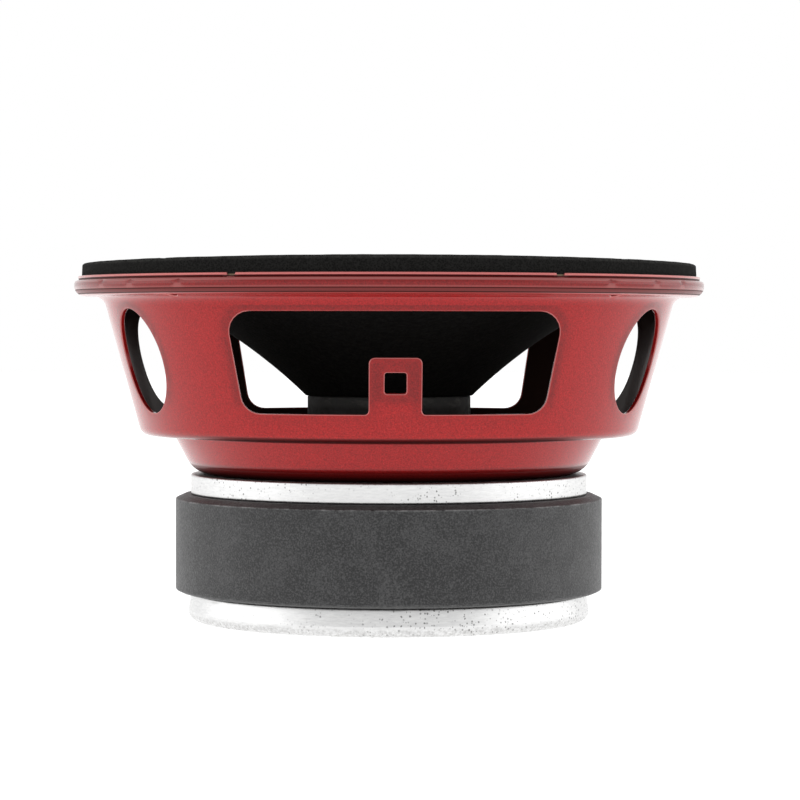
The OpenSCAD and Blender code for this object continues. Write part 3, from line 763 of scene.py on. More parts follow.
def makeBasket():
    shape = basketShape
    path = roundedPath(shape["path"], shape["radii"], longest=1.5)
    count = len(path)
    stops = [0.0]
    for a, b in zip(path, path[1:]):
        stops.append(stops[-1] + math.dist(a, b))
    inward = []
    for i in range(count):
        side = sideways(path, i, False)
        inward.append((side.x, side.y))
    dents, notches = shape["dents"], shape["notches"]
    dentAngles = [math.radians(a + turn) for a in dents["angles"] for turn in (0, 180)]
    notchAngles = [math.radians(a + turn) for a in notches["angles"] for turn in (0, 180)]
    rimRadius = shape["path"][-1][0]

    # How far the rim is pressed in at a turn about Z and a height
    def dentAt(u, z):
        pressed = 0.0
        if z > flangeZ + 1.8:
            for a in dentAngles:
                d = math.hypot((z - flangeZ - dents["rise"]) / dents["high"],
                               rimRadius * turnBetween(u, a) / dents["wide"])
                pressed += dents["depth"] * math.exp(-d * d)
        return pressed

    def place(u, s, depth):
        low, high = 0, count - 1
        while high - low > 1:
            middle = (low + high) // 2
            if stops[middle] <= s:
                low = middle
            else:
                high = middle
        t = (s - stops[low]) / (stops[high] - stops[low])
        r = path[low][0] * (1 - t) + path[high][0] * t
        z = path[low][1] * (1 - t) + path[high][1] * t
        nr = inward[low][0] * (1 - t) + inward[high][0] * t
        nz = inward[low][1] * (1 - t) + inward[high][1] * t
        inside = depth + dentAt(u, z)
        r += nr * inside
        z += nz * inside
        return (r * math.sin(u), -r * math.cos(u), z)

    def stopAt(radius):
        for i in range(count - 1):
            if path[i][1] >= shelfZ - 0.001 and path[i][0] <= radius <= path[i + 1][0]:
                part = (radius - path[i][0]) / max(1e-9, path[i + 1][0] - path[i][0])
                return stops[i] + part * (stops[i + 1] - stops[i])
        return stops[-1]

    def onWall(outline, turn, level, depth):
        found = []
        for x, y in outline:
            z = sillZ + y - (depth * math.sin(wallTilt) if level else 0)
            r = wallFoot + (z - shelfZ) * math.tan(wallTilt)
            reach = r - (depth * math.cos(wallTilt) if level else 0)
            found.append((shape["metric"] * (turn + math.asin(x / reach)), stopAt(r)))
        return found

    # A hole is a list of loops; each gives its points for a set-back from the edge and a depth in the
    # sheet. Every loop runs clockwise, so the metal is on its left
    def wallLoop(outline, turn, level=True):
        clockwise = list(reversed(outline))
        centre = math.radians(turn)
        return lambda offset, depth: onWall(beside(clockwise, offset, True), centre, level, depth)

    def mountLoop(a):
        def points(offset, depth):
            found = []
            for k in range(36):
                b = -2 * math.pi * k / 36
                x = (mountHole + offset) * math.cos(b)
                y = mountRadius + (mountHole + offset) * math.sin(b)
                r = math.hypot(x, y)
                found.append((shape["metric"] * (a + math.asin(x / r)), stopAt(r)))
            return found
        return points

    holes = []
    window, side = shape["window"], shape["sideWindow"]
    tab, tabTop = shape["tab"]["halfWidth"], shape["tab"]["height"]
    for turn in (0, 180):
        drop = shape["rear"]["drop"] if turn else 0
        ease = shape["rear"]["ease"] if turn else 0
        sill, top = window["sill"] + ease, window["top"] + ease
        corners = [(-sill, -drop), (-tab, -drop), (-tab, tabTop), (tab, tabTop), (tab, -drop),
                   (sill, -drop), (top, window["height"]), (-top, window["height"])]
        outline = roundedPath(corners, window["radii"], True, longest=1.2)
        around = [(-tabHole, -tabHole), (tabHole, -tabHole), (tabHole, tabHole), (-tabHole, tabHole)]
        square = roundedPath(around, [0.6] * 4, True, longest=1.2)
        square = [(x, tabZ - sillZ + y * math.cos(wallTilt)) for x, y in square]
        holes.append([wallLoop(outline, turn), wallLoop(square, turn, False)])
        oval = [(side["halfWidth"] * math.cos(k * math.pi / 36),
                 window["height"] / 2 + side["halfHeight"] * math.sin(k * math.pi / 36)) for k in range(72)]
        for sideTurn in side["turns"]:
            holes.append([wallLoop(oval, turn + sideTurn)])
    for angle in mountAngles:
        holes.append([mountLoop(math.radians(angle))])

    # Columns of points all round, closer together at the dents and notches
    fine = ((dentAngles, (-1.8, -1.2, -0.6, 0, 0.6, 1.2, 1.8)), (notchAngles, (-0.9, -0.7, 0, 0.7, 0.9)))
    extra = sorted((a + math.radians(step)) % (2 * math.pi) for angles, steps in fine
                   for a in angles for step in steps)
    even = [2 * math.pi * i / shape["columns"] for i in range(shape["columns"])]
    apart = math.radians(0.5)
    columns = sorted(extra + [a for a in even if all(abs(turnBetween(a, b)) > apart for b in extra)])
    total = len(columns)

    verts, faces = [], []
    outer, inner, lip = [], [], []
    for target, depth in ((outer, 0.0), (inner, sheetT)):
        for s in stops:
            target.append([len(verts) + i for i in range(total)])
            verts += [place(u, min(s, stops[-1]), depth) for u in columns]
    for k, (r, z) in enumerate(shape["lip"]):
        lip.append([len(verts) + i for i in range(total)])
        for u in columns:
            lowered = 0.0
            if z > flangeZ + 4.45:
                near = min(abs(turnBetween(u, a)) for a in notchAngles)
                lowered = notches["depth"] * smoothStep((math.radians(0.9) - near) / math.radians(0.25))
            out = r - (dentAt(u, z) if k < 5 else 0.0)
            verts.append((out * math.sin(u), -out * math.cos(u), z - lowered))

    blocked = set()
    insideRings = set()
    setBack = {}
    bevel = shape["bevel"]
    rounding = edgeRounding(bevel, (0, 18, 36, 54, 72, 90))
    steps = rounding + [(0, sheetT / 2)] + [(o, sheetT - d) for o, d in reversed(rounding)]

    for loops in holes:
        known = [p for loop in loops for p in loop(0, 0)]
        lowU = min(p[0] for p in known) / shape["metric"] - math.radians(1.9)
        highU = max(p[0] for p in known) / shape["metric"] + math.radians(1.9)
        middle = (lowU + highU) / 2
        reach = (highU - lowU) / 2 + math.radians(1)
        inRange = [i for i in range(total) if abs(turnBetween(columns[i], middle)) <= reach]
        inRange.sort(key=lambda i: turnBetween(columns[i], middle))
        lowS, highS = min(p[1] for p in known) - 1.1, max(p[1] for p in known) + 1.1
        rows = list(range(max(j for j in range(count) if stops[j] <= lowS),
                          min(j for j in range(count) if stops[j] >= highS) + 1))
        for i in inRange[:-1]:
            blocked.update((i, j) for j in rows[:-1])
        rings = []
        for loop in loops:
            found = []
            for offset, depth in steps:
                found.append(list(range(len(verts), len(verts) + len(loop(0, 0)))))
                verts += [place(x / shape["metric"], y, depth) for x, y in loop(offset, depth)]
            for a, b in zip(found, found[1:]):
                faces += bridge(a, b)
            rings.append(found)
            insideRings.update(found[-1])
            if highS < stopAt(wallTop):
                setBack.update((k, 0.0) for ring in found for k in ring)
        for surface, end, depth in ((outer, 0, 0), (inner, -1, sheetT)):
            cut = [loop(bevel, depth) for loop in loops]
            points, ids, grid = [], [], {}
            for j in rows:
                for i in inRange:
                    x = shape["metric"] * (middle + turnBetween(columns[i], middle))
                    y = stops[j]
                    near = min(math.hypot(p[0] - x, p[1] - y) for loop in cut for p in loop)
                    if j not in (rows[0], rows[-1]) and i not in (inRange[0], inRange[-1]):
                        if near < 0.6 or insideLoops(cut, x, y):
                            continue
                    if highS < stopAt(wallTop):
                        setBack[surface[j][i]] = near
                    grid[i, j] = len(points)
                    points.append((x, y))
                    ids.append(surface[j][i])
            rim = ([grid[i, rows[0]] for i in inRange] + [grid[inRange[-1], j] for j in rows[1:]]
                   + [grid[i, rows[-1]] for i in reversed(inRange[:-1])]
                   + [grid[inRange[0], j] for j in reversed(rows[1:-1])])
            edges = list(zip(rim, rim[1:] + rim[:1]))
            for loop, found in zip(cut, rings):
                first = len(points)
                points += loop
                ids += found[end]
                edges += [(first + k, first + (k + 1) % len(loop)) for k in range(len(loop))]
            faces += [tuple(ids[k] for k in triangle) for triangle in fillLoops(points, edges, cut, False)]

    for rows, holed in ((outer, True), (inner, True), ([outer[-1]] + lip + [inner[-1]], False),
                        ([inner[0], outer[0]], False)):
        for j, (a, b) in enumerate(zip(rows, rows[1:])):
            faces += [face for i, face in enumerate(bridge(a, b)) if not (holed and (i, j) in blocked)]
    basket = makeObject("pressedBasket", verts, faces)
    # insideMask marks every inside face, where the lacquer lays painted shade
    mask = basket.data.attributes.new("insideMask", "FLOAT", "POINT")
    insides = insideRings | {k for row in inner for k in row}
    mask.data.foreach_set("value", [1.0 if k in insides else 0.0 for k in range(len(verts))])
    # shadeMask: a darker band beside the wall holes, plus painted shade on the down-facing bottom corners
    # and on the bead and lip
    shade = basket.data.attributes.new("shadeMask", "FLOAT", "POINT")
    tones = []
    for vert in basket.data.vertices:
        r = math.hypot(vert.co.x, vert.co.y) / mm
        z = vert.co.z / mm
        # A darker band beside the wall holes, stronger higher up the wall
        tone = math.exp(-((setBack.get(vert.index, 9.0) - 1.0) / 1.3) ** 2)
        tone *= 0.1 + 0.3 * smoothStep((z - sillZ) / 4)
        # Painted shade on the bottom corner and the bowl where they face down, lighter towards the two sides
        if z < sillZ - 1:
            down = -vert.normal.z
            below = 0.72 * smoothStep((down - 0.5) / 0.12) + 0.25 * smoothStep((down - 0.62) / 0.28)
            toSide = smoothStep((abs(vert.co.x) / mm / r - 0.55) / 0.35)
            tone += below * (1 - 0.75 * toSide * smoothStep((z - shelfZ + 2) / 2))
        # Painted shade over the bead and lip of the rim
        elif r > 80.5:
            tone = shape["beadShade"] * smoothStep((z - flangeZ - 0.3) / 0.8)
            tone *= smoothStep((flangeZ + 4.3 - z) / 0.2)
        tones.append(tone)
    shade.data.foreach_set("value", tones)
    return finishPiece(basket, "red_paint", ["basket"], "frame")


makeBasket()
print("stage: basket made")


# Rings seated in the basket's channel

gasketShape = {"inner": 74.4, "outer": 81.0, "crown": 0.85, "bottom": level["gasket"],
               "top": level["gasketTop"]}


def ringProfile(inner, outer, bottom, top, radii, longest=1.2, support=0.3):
    return roundedPath([(inner, bottom), (outer, bottom), (outer, top), (inner, top)], radii, True,
                       longest=longest, support=support)


def makeGasket():
    shape = gasketShape
    profile = roundedPath(
        [(shape["inner"], shape["bottom"]), (shape["outer"], shape["bottom"]),
         (shape["outer"] - 0.15, shape["top"]), (shape["inner"], shape["top"])],
        [0.2, 0.25, 0.9, 0.8], True, longest=1.2)
    ring = turned("foamGasket", profile, "foam", segments=360, unevenness=0.2, lumps=260, seed=5)
    for vert in ring.data.vertices:
        share = max(0, (vert.co.z / mm - shape["bottom"]) / (shape["top"] - shape["bottom"]))
        across = vert.co.x ** 2 / (vert.co.x ** 2 + vert.co.y ** 2)
        vert.co.z -= shape["crown"] * mm * share * across
    drilled(ring, "foam")
    finishPiece(ring, "foam", ["mounting_gasket"], "frame")


def makeSpacer():
    top = levelOf("spacer_ring", True)
    profile = ringProfile(74.4, 81.3, level["spacer"], top, [0.2] * 4, longest=2.5)
    ring = turned("spacerRing", profile, "fibreboard", segments=180)
    drilled(ring, "fibreboard")
    finishPiece(ring, "fibreboard", ["spacer_ring"], "frame", sharp=50)


makeGasket()
makeSpacer()


# Soft rings between the frame and the moving assembly, which stretch in the real speaker; here they are
# built at rest and stretchByRadius only bakes their transform

def stretchByRadius(obj, fixedRadius, movingRadius):
    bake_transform(obj)


surroundShape = {"lip": 60.4, "inner": 63.4, "outer": 73.4, "edge": 80.1, "thick": 0.6}


def makeSurround():
    shape = surroundShape
    z = level["surround"]
    middle = (shape["inner"] + shape["outer"]) / 2
    radius = (shape["outer"] - shape["inner"]) / 2
    path = [(shape["lip"], z), (shape["lip"] + 1.2, z), (shape["inner"] - 0.5, z)]
    path += [(middle - radius * math.cos(a), z + radius * math.sin(a))
             for a in (math.radians(180 * k / 28) for k in range(29))]
    path += [(shape["outer"] + 0.5, z)] + [(shape["outer"] + 0.5 + 1.24 * k, z) for k in range(1, 5)]
    path += [(shape["edge"], z)]
    profile = path + list(reversed(beside(path, shape["thick"])))
    ring = turned("rollSurround", profile, "surround_rubber", segments=240)
    drilled(ring, "surround_rubber")
    finishPiece(ring, "surround_rubber", ["surround"], None)
    stretchByRadius(ring, shape["outer"], shape["inner"])


spiderShape = {"inner": 20.19, "start": 25, "end": 53, "edge": 63, "waves": 6, "height": 2, "thick": 0.55}


def makeSpider():
    shape = spiderShape
    z = level["spider"] + 0.02
    steps = shape["waves"] * 12
    path = [(shape["inner"], z + 3), (shape["inner"], z + 1.2), (shape["inner"] + 0.1, z + 0.5),
            (shape["inner"] + 0.5, z + 0.12), (shape["inner"] + 1.1, z), (shape["start"] - 1.2, z)]
    path += [(shape["start"] + (shape["end"] - shape["start"]) * k / steps,
              z + shape["height"] / 2 * (1 - math.cos(k * 2 * math.pi * shape["waves"] / steps)))
             for k in range(steps + 1)]
    path += [(shape["end"] + 1.5, z), (shape["edge"] - 3, z), (shape["edge"], z)]
    profile = path + list(reversed(beside(path, shape["thick"])))
    ring = turned("clothSpider", profile, "spider_cloth", segments=180, unevenness=0.1, lumps=180, seed=8)
    finishPiece(ring, "spider_cloth", ["spider"], None)
    stretchByRadius(ring, shape["end"], shape["start"])


makeSurround()
makeSpider()
print("stage: rings made")


# The cone: an arc that flattens towards the edge

coneShape = {"neckRadius": 22.1, "endRadius": 60.5, "turn": math.radians(20), "thick": 0.7,
             "rimRadius": 63.2, "innerRadius": 19.89, "rimZ": channelZ - 1.0}
coneStart = Vector((coneShape["neckRadius"], level["coneNeck"]))
coneEnd = Vector((coneShape["endRadius"], coneShape["rimZ"]))
coneAngle = math.atan2(coneEnd.y - coneStart.y, coneEnd.x - coneStart.x) + coneShape["turn"] / 2
coneRadius = (coneEnd - coneStart).length / (2 * math.sin(coneShape["turn"] / 2))


def conePoint(turn):
    return (coneStart.x + coneRadius * (math.sin(coneAngle) - math.sin(coneAngle - turn)),
            coneStart.y + coneRadius * (math.cos(coneAngle - turn) - math.cos(coneAngle)))


def coneTurnAt(r):
    return coneAngle - math.asin(math.sin(coneAngle) - (r - coneStart.x) / coneRadius)


def makeCone():
    shape = coneShape
    neck, rim = level["coneNeck"], shape["rimZ"]
    arc = [conePoint(shape["turn"] * k / 30) for k in range(31)]
    low = [(shape["innerRadius"], neck), (21.2, neck), (21.8, neck + 0.01)] + arc
    low += [(61.6, rim), (62.7, rim), (63.1, rim + 0.08), (shape["rimRadius"], rim + 0.25)]
    high = beside(low, shape["thick"])
    high[-2:] = [(63.1, rim + shape["thick"] - 0.08), (shape["rimRadius"], rim + shape["thick"] - 0.2)]
    cone = turned("paperCone", low + list(reversed(high)), "cone_paper", segments=240,
                  unevenness=0.08, lumps=700, seed=2)
    finishPiece(cone, "cone_paper", ["cone"], "moving_assembly")


capShape = {"radius": 33, "height": 10.5, "thick": 0.6}


def makeDustCap():
    shape = capShape
    turn = coneTurnAt(shape["radius"])
    slope = coneAngle - turn
    foot = conePoint(turn)[1] + coneShape["thick"] / math.cos(slope) + 0.1
    radius = (shape["radius"] ** 2 + shape["height"] ** 2) / (2 * shape["height"])
    drop = radius - shape["height"]

    def dome(r):
        reach = math.acos(drop / r)
        turns = [reach * (1 - k / 40) for k in range(41)]
        return [(r * math.sin(a), foot - drop + r * math.cos(a)) for a in turns]

    outside = dome(radius)
    edge = outside[0][0]
    bead = [(edge - 0.3, foot + 0.02), (edge, foot + 0.02), (edge + 0.12, foot + 0.18)]
    inside = list(reversed(dome(radius - shape["thick"])))
    profile = bead + outside[1:] + inside
    cap = turned("dustCap", profile, "cap_paper", segments=180)
    finishPiece(cap, "cap_paper", ["dust_cap"], "moving_assembly")


def makeCollar():
    low, top = level["collar"], level["coneNeck"] - 0.02
    profile = roundedPath([(19.9, low), (21.6, low), (21.6, top), (19.9, top)], [0.2, 0.7, 0.5, 0.2], True,
                          longest=0.6, support=0.15)
    collar = turned("neckCollar", profile, "collar_paper", segments=160, unevenness=0.16, lumps=240, seed=4)
    finishPiece(collar, "collar_paper", ["neck_collar"], "moving_assembly")


makeCone()
makeDustCap()
makeCollar()


# Former and winding

coilShape = {"inner": 19.3, "thick": 0.25, "wire": 0.39}


def makeFormer():
    profile = ringProfile(coilShape["inner"], coilShape["inner"] + coilShape["thick"], level["formerLow"],
                          level["formerTop"], [0.05] * 4, longest=6)
    former = turned("coilFormer", profile, "former_paper", segments=120)
    finishPiece(former, "former_paper", ["coil_former"], "moving_assembly", sharp=50)


def makeWinding():
    low, top = level["coilLow"], level["coilTop"]
    inner = coilShape["inner"] + coilShape["thick"] + 0.03
    outer = inner + 0.75
    wraps = round((top - low) / coilShape["wire"])
    pitch = (top - low) / wraps
    outside = []
    half = pitch / 2
    for k in range(wraps):
        for part in range(4):
            a = math.pi * (part + 0.5) / 4
            outside.append((outer - half + half * math.sin(a), low + pitch * k + half * (1 - math.cos(a))))
    profile = [(inner, low)] + outside + [(inner, top)]
    coil = turned("voiceCoil", profile, "copper", segments=96)
    finishPiece(coil, "copper", ["voice_coil"], "moving_assembly", sharp=80)


makeFormer()
makeWinding()
print("stage: moving parts made")


# Motor: plates, ring magnet, rivets

motorShape = {"plate": 52.4, "gap": 20.8, "magnet": 56.4, "bore": 27.5, "back": 53.0, "pole": 18.6,
              "vent": 7.0, "seat": 8.2, "rivets": 4, "rivetCircle": 38}


def makeTopPlate():
    shape = motorShape
    profile = ringProfile(shape["gap"], shape["plate"], level["plate"], level["plateTop"],
                          [0.2, 0.55, 0.45, 0.2], longest=1.4, support=0.25)
    plate = turned("topPlate", profile, "zinc", segments=240)
    finishPiece(plate, "zinc", ["top_plate"], "frame")


def makeMagnet():
    shape = motorShape
    r = shape["magnet"]
    low, top = level["magnet"], level["magnetTop"]
    profile = roundedPath(
        [(shape["bore"], low), (r - 1.2, low), (r, low + 0.55), (r, top - 1.1), (r - 2.4, top),
         (shape["bore"], top)],
        [0.2, 0.3, 0.3, 0.35, 0.3, 0.2], True, steps=3, longest=1.3, support=0.2)
    magnet = turned("ringMagnet", profile, "ferrite", segments=360, unevenness=0.09, lumps=520, seed=7)
    finishPiece(magnet, "ferrite", ["magnet"], "frame")


def makeYoke():
    shape = motorShape
    r = shape["back"]
    top = levelOf("t_yoke", True)
    plateTop = level["magnet"] - 0.02
    profile = roundedPath(
        [(shape["seat"], 0), (r, 0), (r, 2.8), (r - 0.8, plateTop - 0.45), (r - 3.4, plateTop - 0.45),
         (r - 3.4, plateTop), (shape["pole"], plateTop), (shape["pole"], top), (shape["vent"], top),
         (shape["vent"], 1.2), (shape["seat"], 1.2)],
        [0.3, 2.2, 1.2, 0.35, 0.1, 0.1, 0.4, 0.4, 0.3, 0.2, 0.2], True, longest=1.6, support=0.25)
    yoke = turned("poleAndBackPlate", profile, "zinc", segments=240)
    finishPiece(yoke, "zinc", ["t_yoke"], "frame")


def makeRivets():
    head = level["base"] + sheetT + 0.02
    profile = roundedPath(
        [(0, head - 1.4), (2.38, head - 1.4), (2.38, head), (4.2, head), (3.4, head + 1.3),
         (1.3, head + 1.3), (1.1, head + 0.9), (0, head + 0.9)],
        [0, 0.1, 0, 0.25, 0.45, 0.15, 0.15, 0], steps=4, longest=0.8, support=0.15)
    rivet = turned("basketRivets", profile, "zinc", segments=40, closed=False)
    runTree(rivet, copiesTree, {"Copies": motorShape["rivets"], "Circle": motorShape["rivetCircle"] * mm,
                                "Material": finishes["zinc"]})
    finishPiece(rivet, "zinc", ["basket_rivets"], "frame", sharp=50)


makeTopPlate()
makeMagnet()
makeYoke()
makeRivets()
print("stage: motor made")


# Flat pieces with rounded edges, cut to loops that keep the metal on their left

def plateMesh(name, loops, near, far, bevel, place):
    verts, faces, points, edges, topIds, lowIds = [], [], [], [], [], []
    rounding = edgeRounding(bevel, (0, 30, 60, 90))
    steps = [(o, near + d) for o, d in rounding] + [(o, far - d) for o, d in reversed(rounding)]
    cut = [beside(loop, bevel, True) for loop in loops]
    for loop, narrowed in zip(loops, cut):
        size = len(loop)
        rings = []
        for offset, depth in steps:
            ring = []
            for x, y in beside(loop, offset, True):
                ring.append(len(verts))
                verts.append(place(x, depth, y))
            rings.append(ring)
        for a, b in zip(rings, rings[1:]):
            faces += bridge(a, b)
        first = len(points)
        points += narrowed
        edges += [(first + k, first + (k + 1) % size) for k in range(size)]
        lowIds += rings[0]
        topIds += rings[-1]
    for ids in fillLoops(points, edges, cut, True):
        faces.append(tuple(topIds[k] for k in ids))
        faces.append(tuple(lowIds[k] for k in reversed(ids)))
    return makeObject(name, verts, faces)


tabRadius = wallFoot + (tabZ - shelfZ) * math.tan(wallTilt)
onTab = Matrix.Translation((0, tabRadius, tabZ)) @ Matrix.Rotation(-wallTilt, 4, "X")
terminalX = 8.6
boardT = 1.6
terminalTop = boardT + 0.84
wireHole = -3.5  # heights on the board of the solder hole and the rivet
rivetHole = 2.5


def placeOnTab(x, out, up):
    return tuple(onTab @ Vector((x, out, up)))


def circleLoop(x, y, radius, count=28):
    turns = [-2 * math.pi * k / count for k in range(count)]
    return [(x + radius * math.cos(a), y + radius * math.sin(a)) for a in turns]


def boxLoop(left, right, low, high, radius, clockwise=False):
    loop = roundedPath([(left, low), (right, low), (right, high), (left, high)], [radius] * 4, True, steps=4,
                       longest=2.5, support=0.3)
    return list(reversed(loop)) if clockwise else loop


def makeBoard():
    loops = [boxLoop(-13.5, 13.5, -6, 7, 1.5), boxLoop(-tabHole, tabHole, -tabHole, tabHole, 0.3, True)]
    for x in (-terminalX, terminalX):
        loops += [circleLoop(x, wireHole, 1.15), circleLoop(x, rivetHole, 1.2)]
    board = plateMesh("terminalBoard", loops, gapJoint, boardT, 0.18, placeOnTab)
    finishPiece(board, "phenolic", ["terminal_board"], "frame", sharp=50)


def makeClip():
    inner = 1.45
    stages = [
        ("clipShank", 2.55, 2.55, 0.7, -inner - 0.6, boardT + 0.2, 0.1),
        ("clipHead", 4.2, 4.2, 0.9, boardT + gapJoint, boardT + 1.22, 0.4),
        ("clipBarb", 3.4, 2.6, 0.6, -inner - 1.2, -inner, 0.35),
    ]
    clip = joinObjects("boardClip", [
        plateMesh(name, [boxLoop(-across, across, -up, up, radius)], near, far, bevel, placeOnTab)
        for name, across, up, radius, near, far, bevel in stages])
    finishPiece(clip, "nylon", ["board_clip"], "frame", sharp=50)


def makeTerminal(name, node, x, width):
    blade = width / 2
    low = -5.2
    outline = roundedPath(
        [(x - 3, low), (x + 3, low), (x + 3, 5), (x + blade, 6), (x + blade, 14), (x - blade, 14),
         (x - blade, 6), (x - 3, 5)],
        [0.8, 0.8, 0.4, 0.4, 0.9, 0.9, 0.4, 0.4], True, steps=4, longest=2, support=0.2)
    loops = [outline, circleLoop(x, wireHole, 1.15), circleLoop(x, rivetHole, 1.2),
             circleLoop(x, 10.5, 0.7, 18)]
    near = boardT + gapJoint
    terminal = plateMesh(name, loops, near, near + 0.8, 0.16, placeOnTab)
    finishPiece(terminal, "brass_trim", [node], "frame", sharp=50)


# Moves a mesh by a matrix whose lengths are in millimetres
def moveMesh(obj, matrix):
    obj.data.transform(Matrix.Scale(mm, 4).inverted())
    obj.data.transform(matrix)
    obj.data.transform(Matrix.Scale(mm, 4))
    return obj


def standOnTab(obj, x, up):
    return moveMesh(obj, onTab @ Matrix.Translation((x, 0, up)) @ Matrix.Rotation(-math.pi / 2, 4, "X"))


def makeTerminalRivets():
    outer = terminalTop
    parts = []
    for x in (-terminalX, terminalX):
        profile = roundedPath(
            [(0, -0.6), (1.75, -0.6), (1.75, 0), (1.15, 0), (1.15, outer), (2.1, outer), (1.7, outer + 0.7),
             (0.5, outer + 0.7), (0.35, outer + 0.45), (0, outer + 0.45)],
            [0, 0.3, 0, 0, 0, 0.15, 0.4, 0.1, 0.1, 0], steps=4, longest=1, support=0.1)
        parts.append(standOnTab(turned("rivet", profile, "zinc", segments=32, closed=False), x, rivetHole))
    rivets = joinObjects("terminalRivets", parts)
    finishPiece(rivets, "zinc", ["terminal_rivets"], "frame", sharp=50)


def makeSolder():
    outer = terminalTop
    parts = []
    for x in (-terminalX, terminalX):
        profile = [(0.85, outer), (1.9, outer), (1.82, outer + 0.2), (1.6, outer + 0.42),
                   (1.35, outer + 0.62), (1.1, outer + 0.85), (0.92, outer + 1.05), (0.8, outer + 1.1),
                   (0.75, outer + 0.95), (0.75, outer + 0.3)]
        parts.append(standOnTab(
            turned("bead", profile, "solder", segments=32, unevenness=0.1, lumps=700, seed=x), x, wireHole))
    solder = joinObjects("leadSolder", parts)
    finishPiece(solder, "solder", ["lead_solder"], "frame", sharp=50)


makeBoard()
makeClip()
makeTerminal("positiveTerminal", "terminal_positive", terminalX, 4.8)
makeTerminal("negativeTerminal", "terminal_negative", -terminalX, 2.8)
makeTerminalRivets()
makeSolder()


# Tinsel leads from the cone to the terminals

leadRoute = [(28.7, 65.6), (29.2, 63), (31.4, 59.6), (35, 57.2), (40, 56), (46, 55.8), (52, 56.6),
             (58, 58.2), (63, 59.6), (66.4, 60.3), (69.4, 59.9), (71.4, 59.4)]


def makeLead(name, node, x):
    points = [(x, y, z) for y, z in leadRoute]
    lead = makeObject(name, points, [], [(k, k + 1) for k in range(len(points) - 1)])
    runTree(lead, leadTree, {"Strands": 6, "Strand Radius": 0.0002, "Lay Radius": 0.00044, "Twists": 8.0,
                             "Material": finishes["tinsel"]})
    finishPiece(lead, "tinsel", [node], None, sharp=50, weld=0.0005)
    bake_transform(lead)


makeLead("positiveLead", "tinsel_lead_positive", terminalX)
makeLead("negativeLead", "tinsel_lead_negative", -terminalX)


def makeEyelets():
    parts = []
    reach = 30
    slope = coneAngle - coneTurnAt(reach)
    z = conePoint(coneTurnAt(reach))[1]
    for side in (-1, 1):
        profile = roundedPath(
            [(1.15, -0.45), (2.4, -0.45), (2.4, -0.2), (1.6, -0.2), (1.6, 0.9), (2.4, 0.9), (2.4, 1.15),
             (1.15, 1.15)],
            [0.15, 0.1, 0.08, 0, 0, 0.08, 0.1, 0.2], True, steps=3, longest=0.6, support=0.05)
        parts.append(moveMesh(
            turned("eyelet", profile, "brass_trim", segments=32),
            Matrix.Rotation(math.pi / 2 - side * math.asin(terminalX / reach), 4, "Z")
            @ Matrix.Translation((reach, 0, z)) @ Matrix.Rotation(-slope, 4, "Y")))
    eyelets = joinObjects("leadEyelets", parts)
    finishPiece(eyelets, "brass_trim", ["lead_eyelets"], "moving_assembly", sharp=50)


makeEyelets()

keptNodes = {"coil_leadouts": "copper", "shorting_cap": "copper", "vent_mesh": "black_steel"}
for node, finish in keptNodes.items():
    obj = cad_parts[node]
    obj.data.materials.clear()
    obj.data.materials.append(finishes[finish])
print("stage: small parts made")


# Floor, light and camera

floorShape = {"half": 4000, "z": -0.1, "glow": 1.2}


def makeFloor():
    half = floorShape["half"]
    corners = [(-half, -half), (half, -half), (half, half), (-half, half)]
    floor = makeObject("studioFloor", [(x, y, floorShape["z"]) for x, y in corners], [(0, 1, 2, 3)])
    material, tree, shader = newMaterial(
        "paleFloor", grey(0.05), 0.9, Emission_Strength=floorShape["glow"], Emission_Color=(1, 1, 1, 1),
        Specular_IOR_Level=0.0)
    grain = addGroup(tree, grainGroup, Scale=3.0, Detail=2.0, Depth=0.0)
    tree.links.new(mixColors(tree, grain.outputs["Value"], grey(0.045), grey(0.055)),
                   shader.inputs["Base Color"])
    floor.data.materials.append(material)


def makeLight(name, place, aim, size, power):
    data = bpy.data.lights.new(name, "AREA")
    data.shape = "RECTANGLE"
    data.size, data.size_y = size
    data.energy = power
    light = bpy.data.objects.new(name, data)
    light.location = place
    light.rotation_euler = (Vector(aim) - Vector(place)).to_track_quat("-Z", "Y").to_euler()
    scene.collection.objects.link(light)


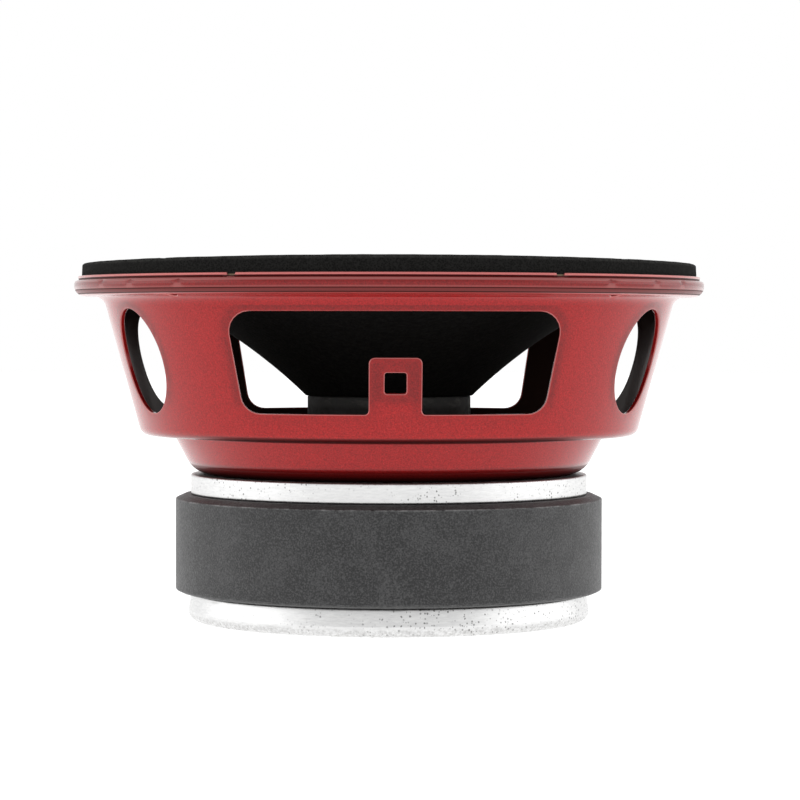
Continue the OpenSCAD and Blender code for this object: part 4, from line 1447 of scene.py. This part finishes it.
cameraView = {"place": (-0.0176, -0.7768, 0.0775), "aim": (0.0029, -0.0001, 0.0578), "lens": 131.85,
              "roll": 0.0017}


def makeCamera():
    data = bpy.data.cameras.new("viewCamera")
    data.lens = cameraView["lens"]
    data.sensor_width = 36
    data.clip_start = 0.05
    data.clip_end = 30
    camera = bpy.data.objects.new("viewCamera", data)
    camera.location = cameraView["place"]
    aim = Vector(cameraView["aim"])
    turn = (aim - camera.location).to_track_quat("-Z", "Y") @ Quaternion((0, 0, 1), cameraView["roll"])
    camera.rotation_euler = turn.to_euler()
    scene.collection.objects.link(camera)
    scene.camera = camera


makeFloor()


# White all round, brighter at the two sides, as between side panels, and dimmer overhead
skyShape = {"dimFrom": 0.15, "dimTo": 0.5, "dimmer": -0.35, "sideFrom": 0.7, "sideTo": 0.98, "sides": 1.9}


def makeWorld():
    world = bpy.data.worlds.new("whiteStudio")
    scene.world = world
    world.use_nodes = True
    tree = world.node_tree
    place = addNode(tree, "ShaderNodeTexCoord")
    parts = addNode(tree, "ShaderNodeSeparateXYZ", {0: place.outputs["Generated"]})
    above = addNode(tree, "ShaderNodeMapRange", {"Value": parts.outputs["Z"]}, {
        "From Min": skyShape["dimFrom"], "From Max": skyShape["dimTo"], "To Min": 0.0,
        "To Max": skyShape["dimmer"]}, interpolation_type="SMOOTHSTEP")
    sides = addNode(tree, "ShaderNodeMapRange", {"Value": mathNode(tree, "ABSOLUTE", parts.outputs["X"])}, {
        "From Min": skyShape["sideFrom"], "From Max": skyShape["sideTo"], "To Min": 1.0,
        "To Max": skyShape["sides"]}, interpolation_type="SMOOTHSTEP")
    total = mathNode(tree, "ADD", above.outputs[0], sides.outputs[0])
    background = tree.nodes["Background"]
    background.inputs["Color"].default_value = (1, 1, 1, 1)
    tree.links.new(total, background.inputs["Strength"])


makeWorld()
makeLight("overhead", (0, -0.3, 1.3), (0, 0, 0.05), (1.6, 1.2), 1)
makeCamera()
scene.view_settings.view_transform = "Standard"
scene.view_settings.look = "None"

print("stage: done")
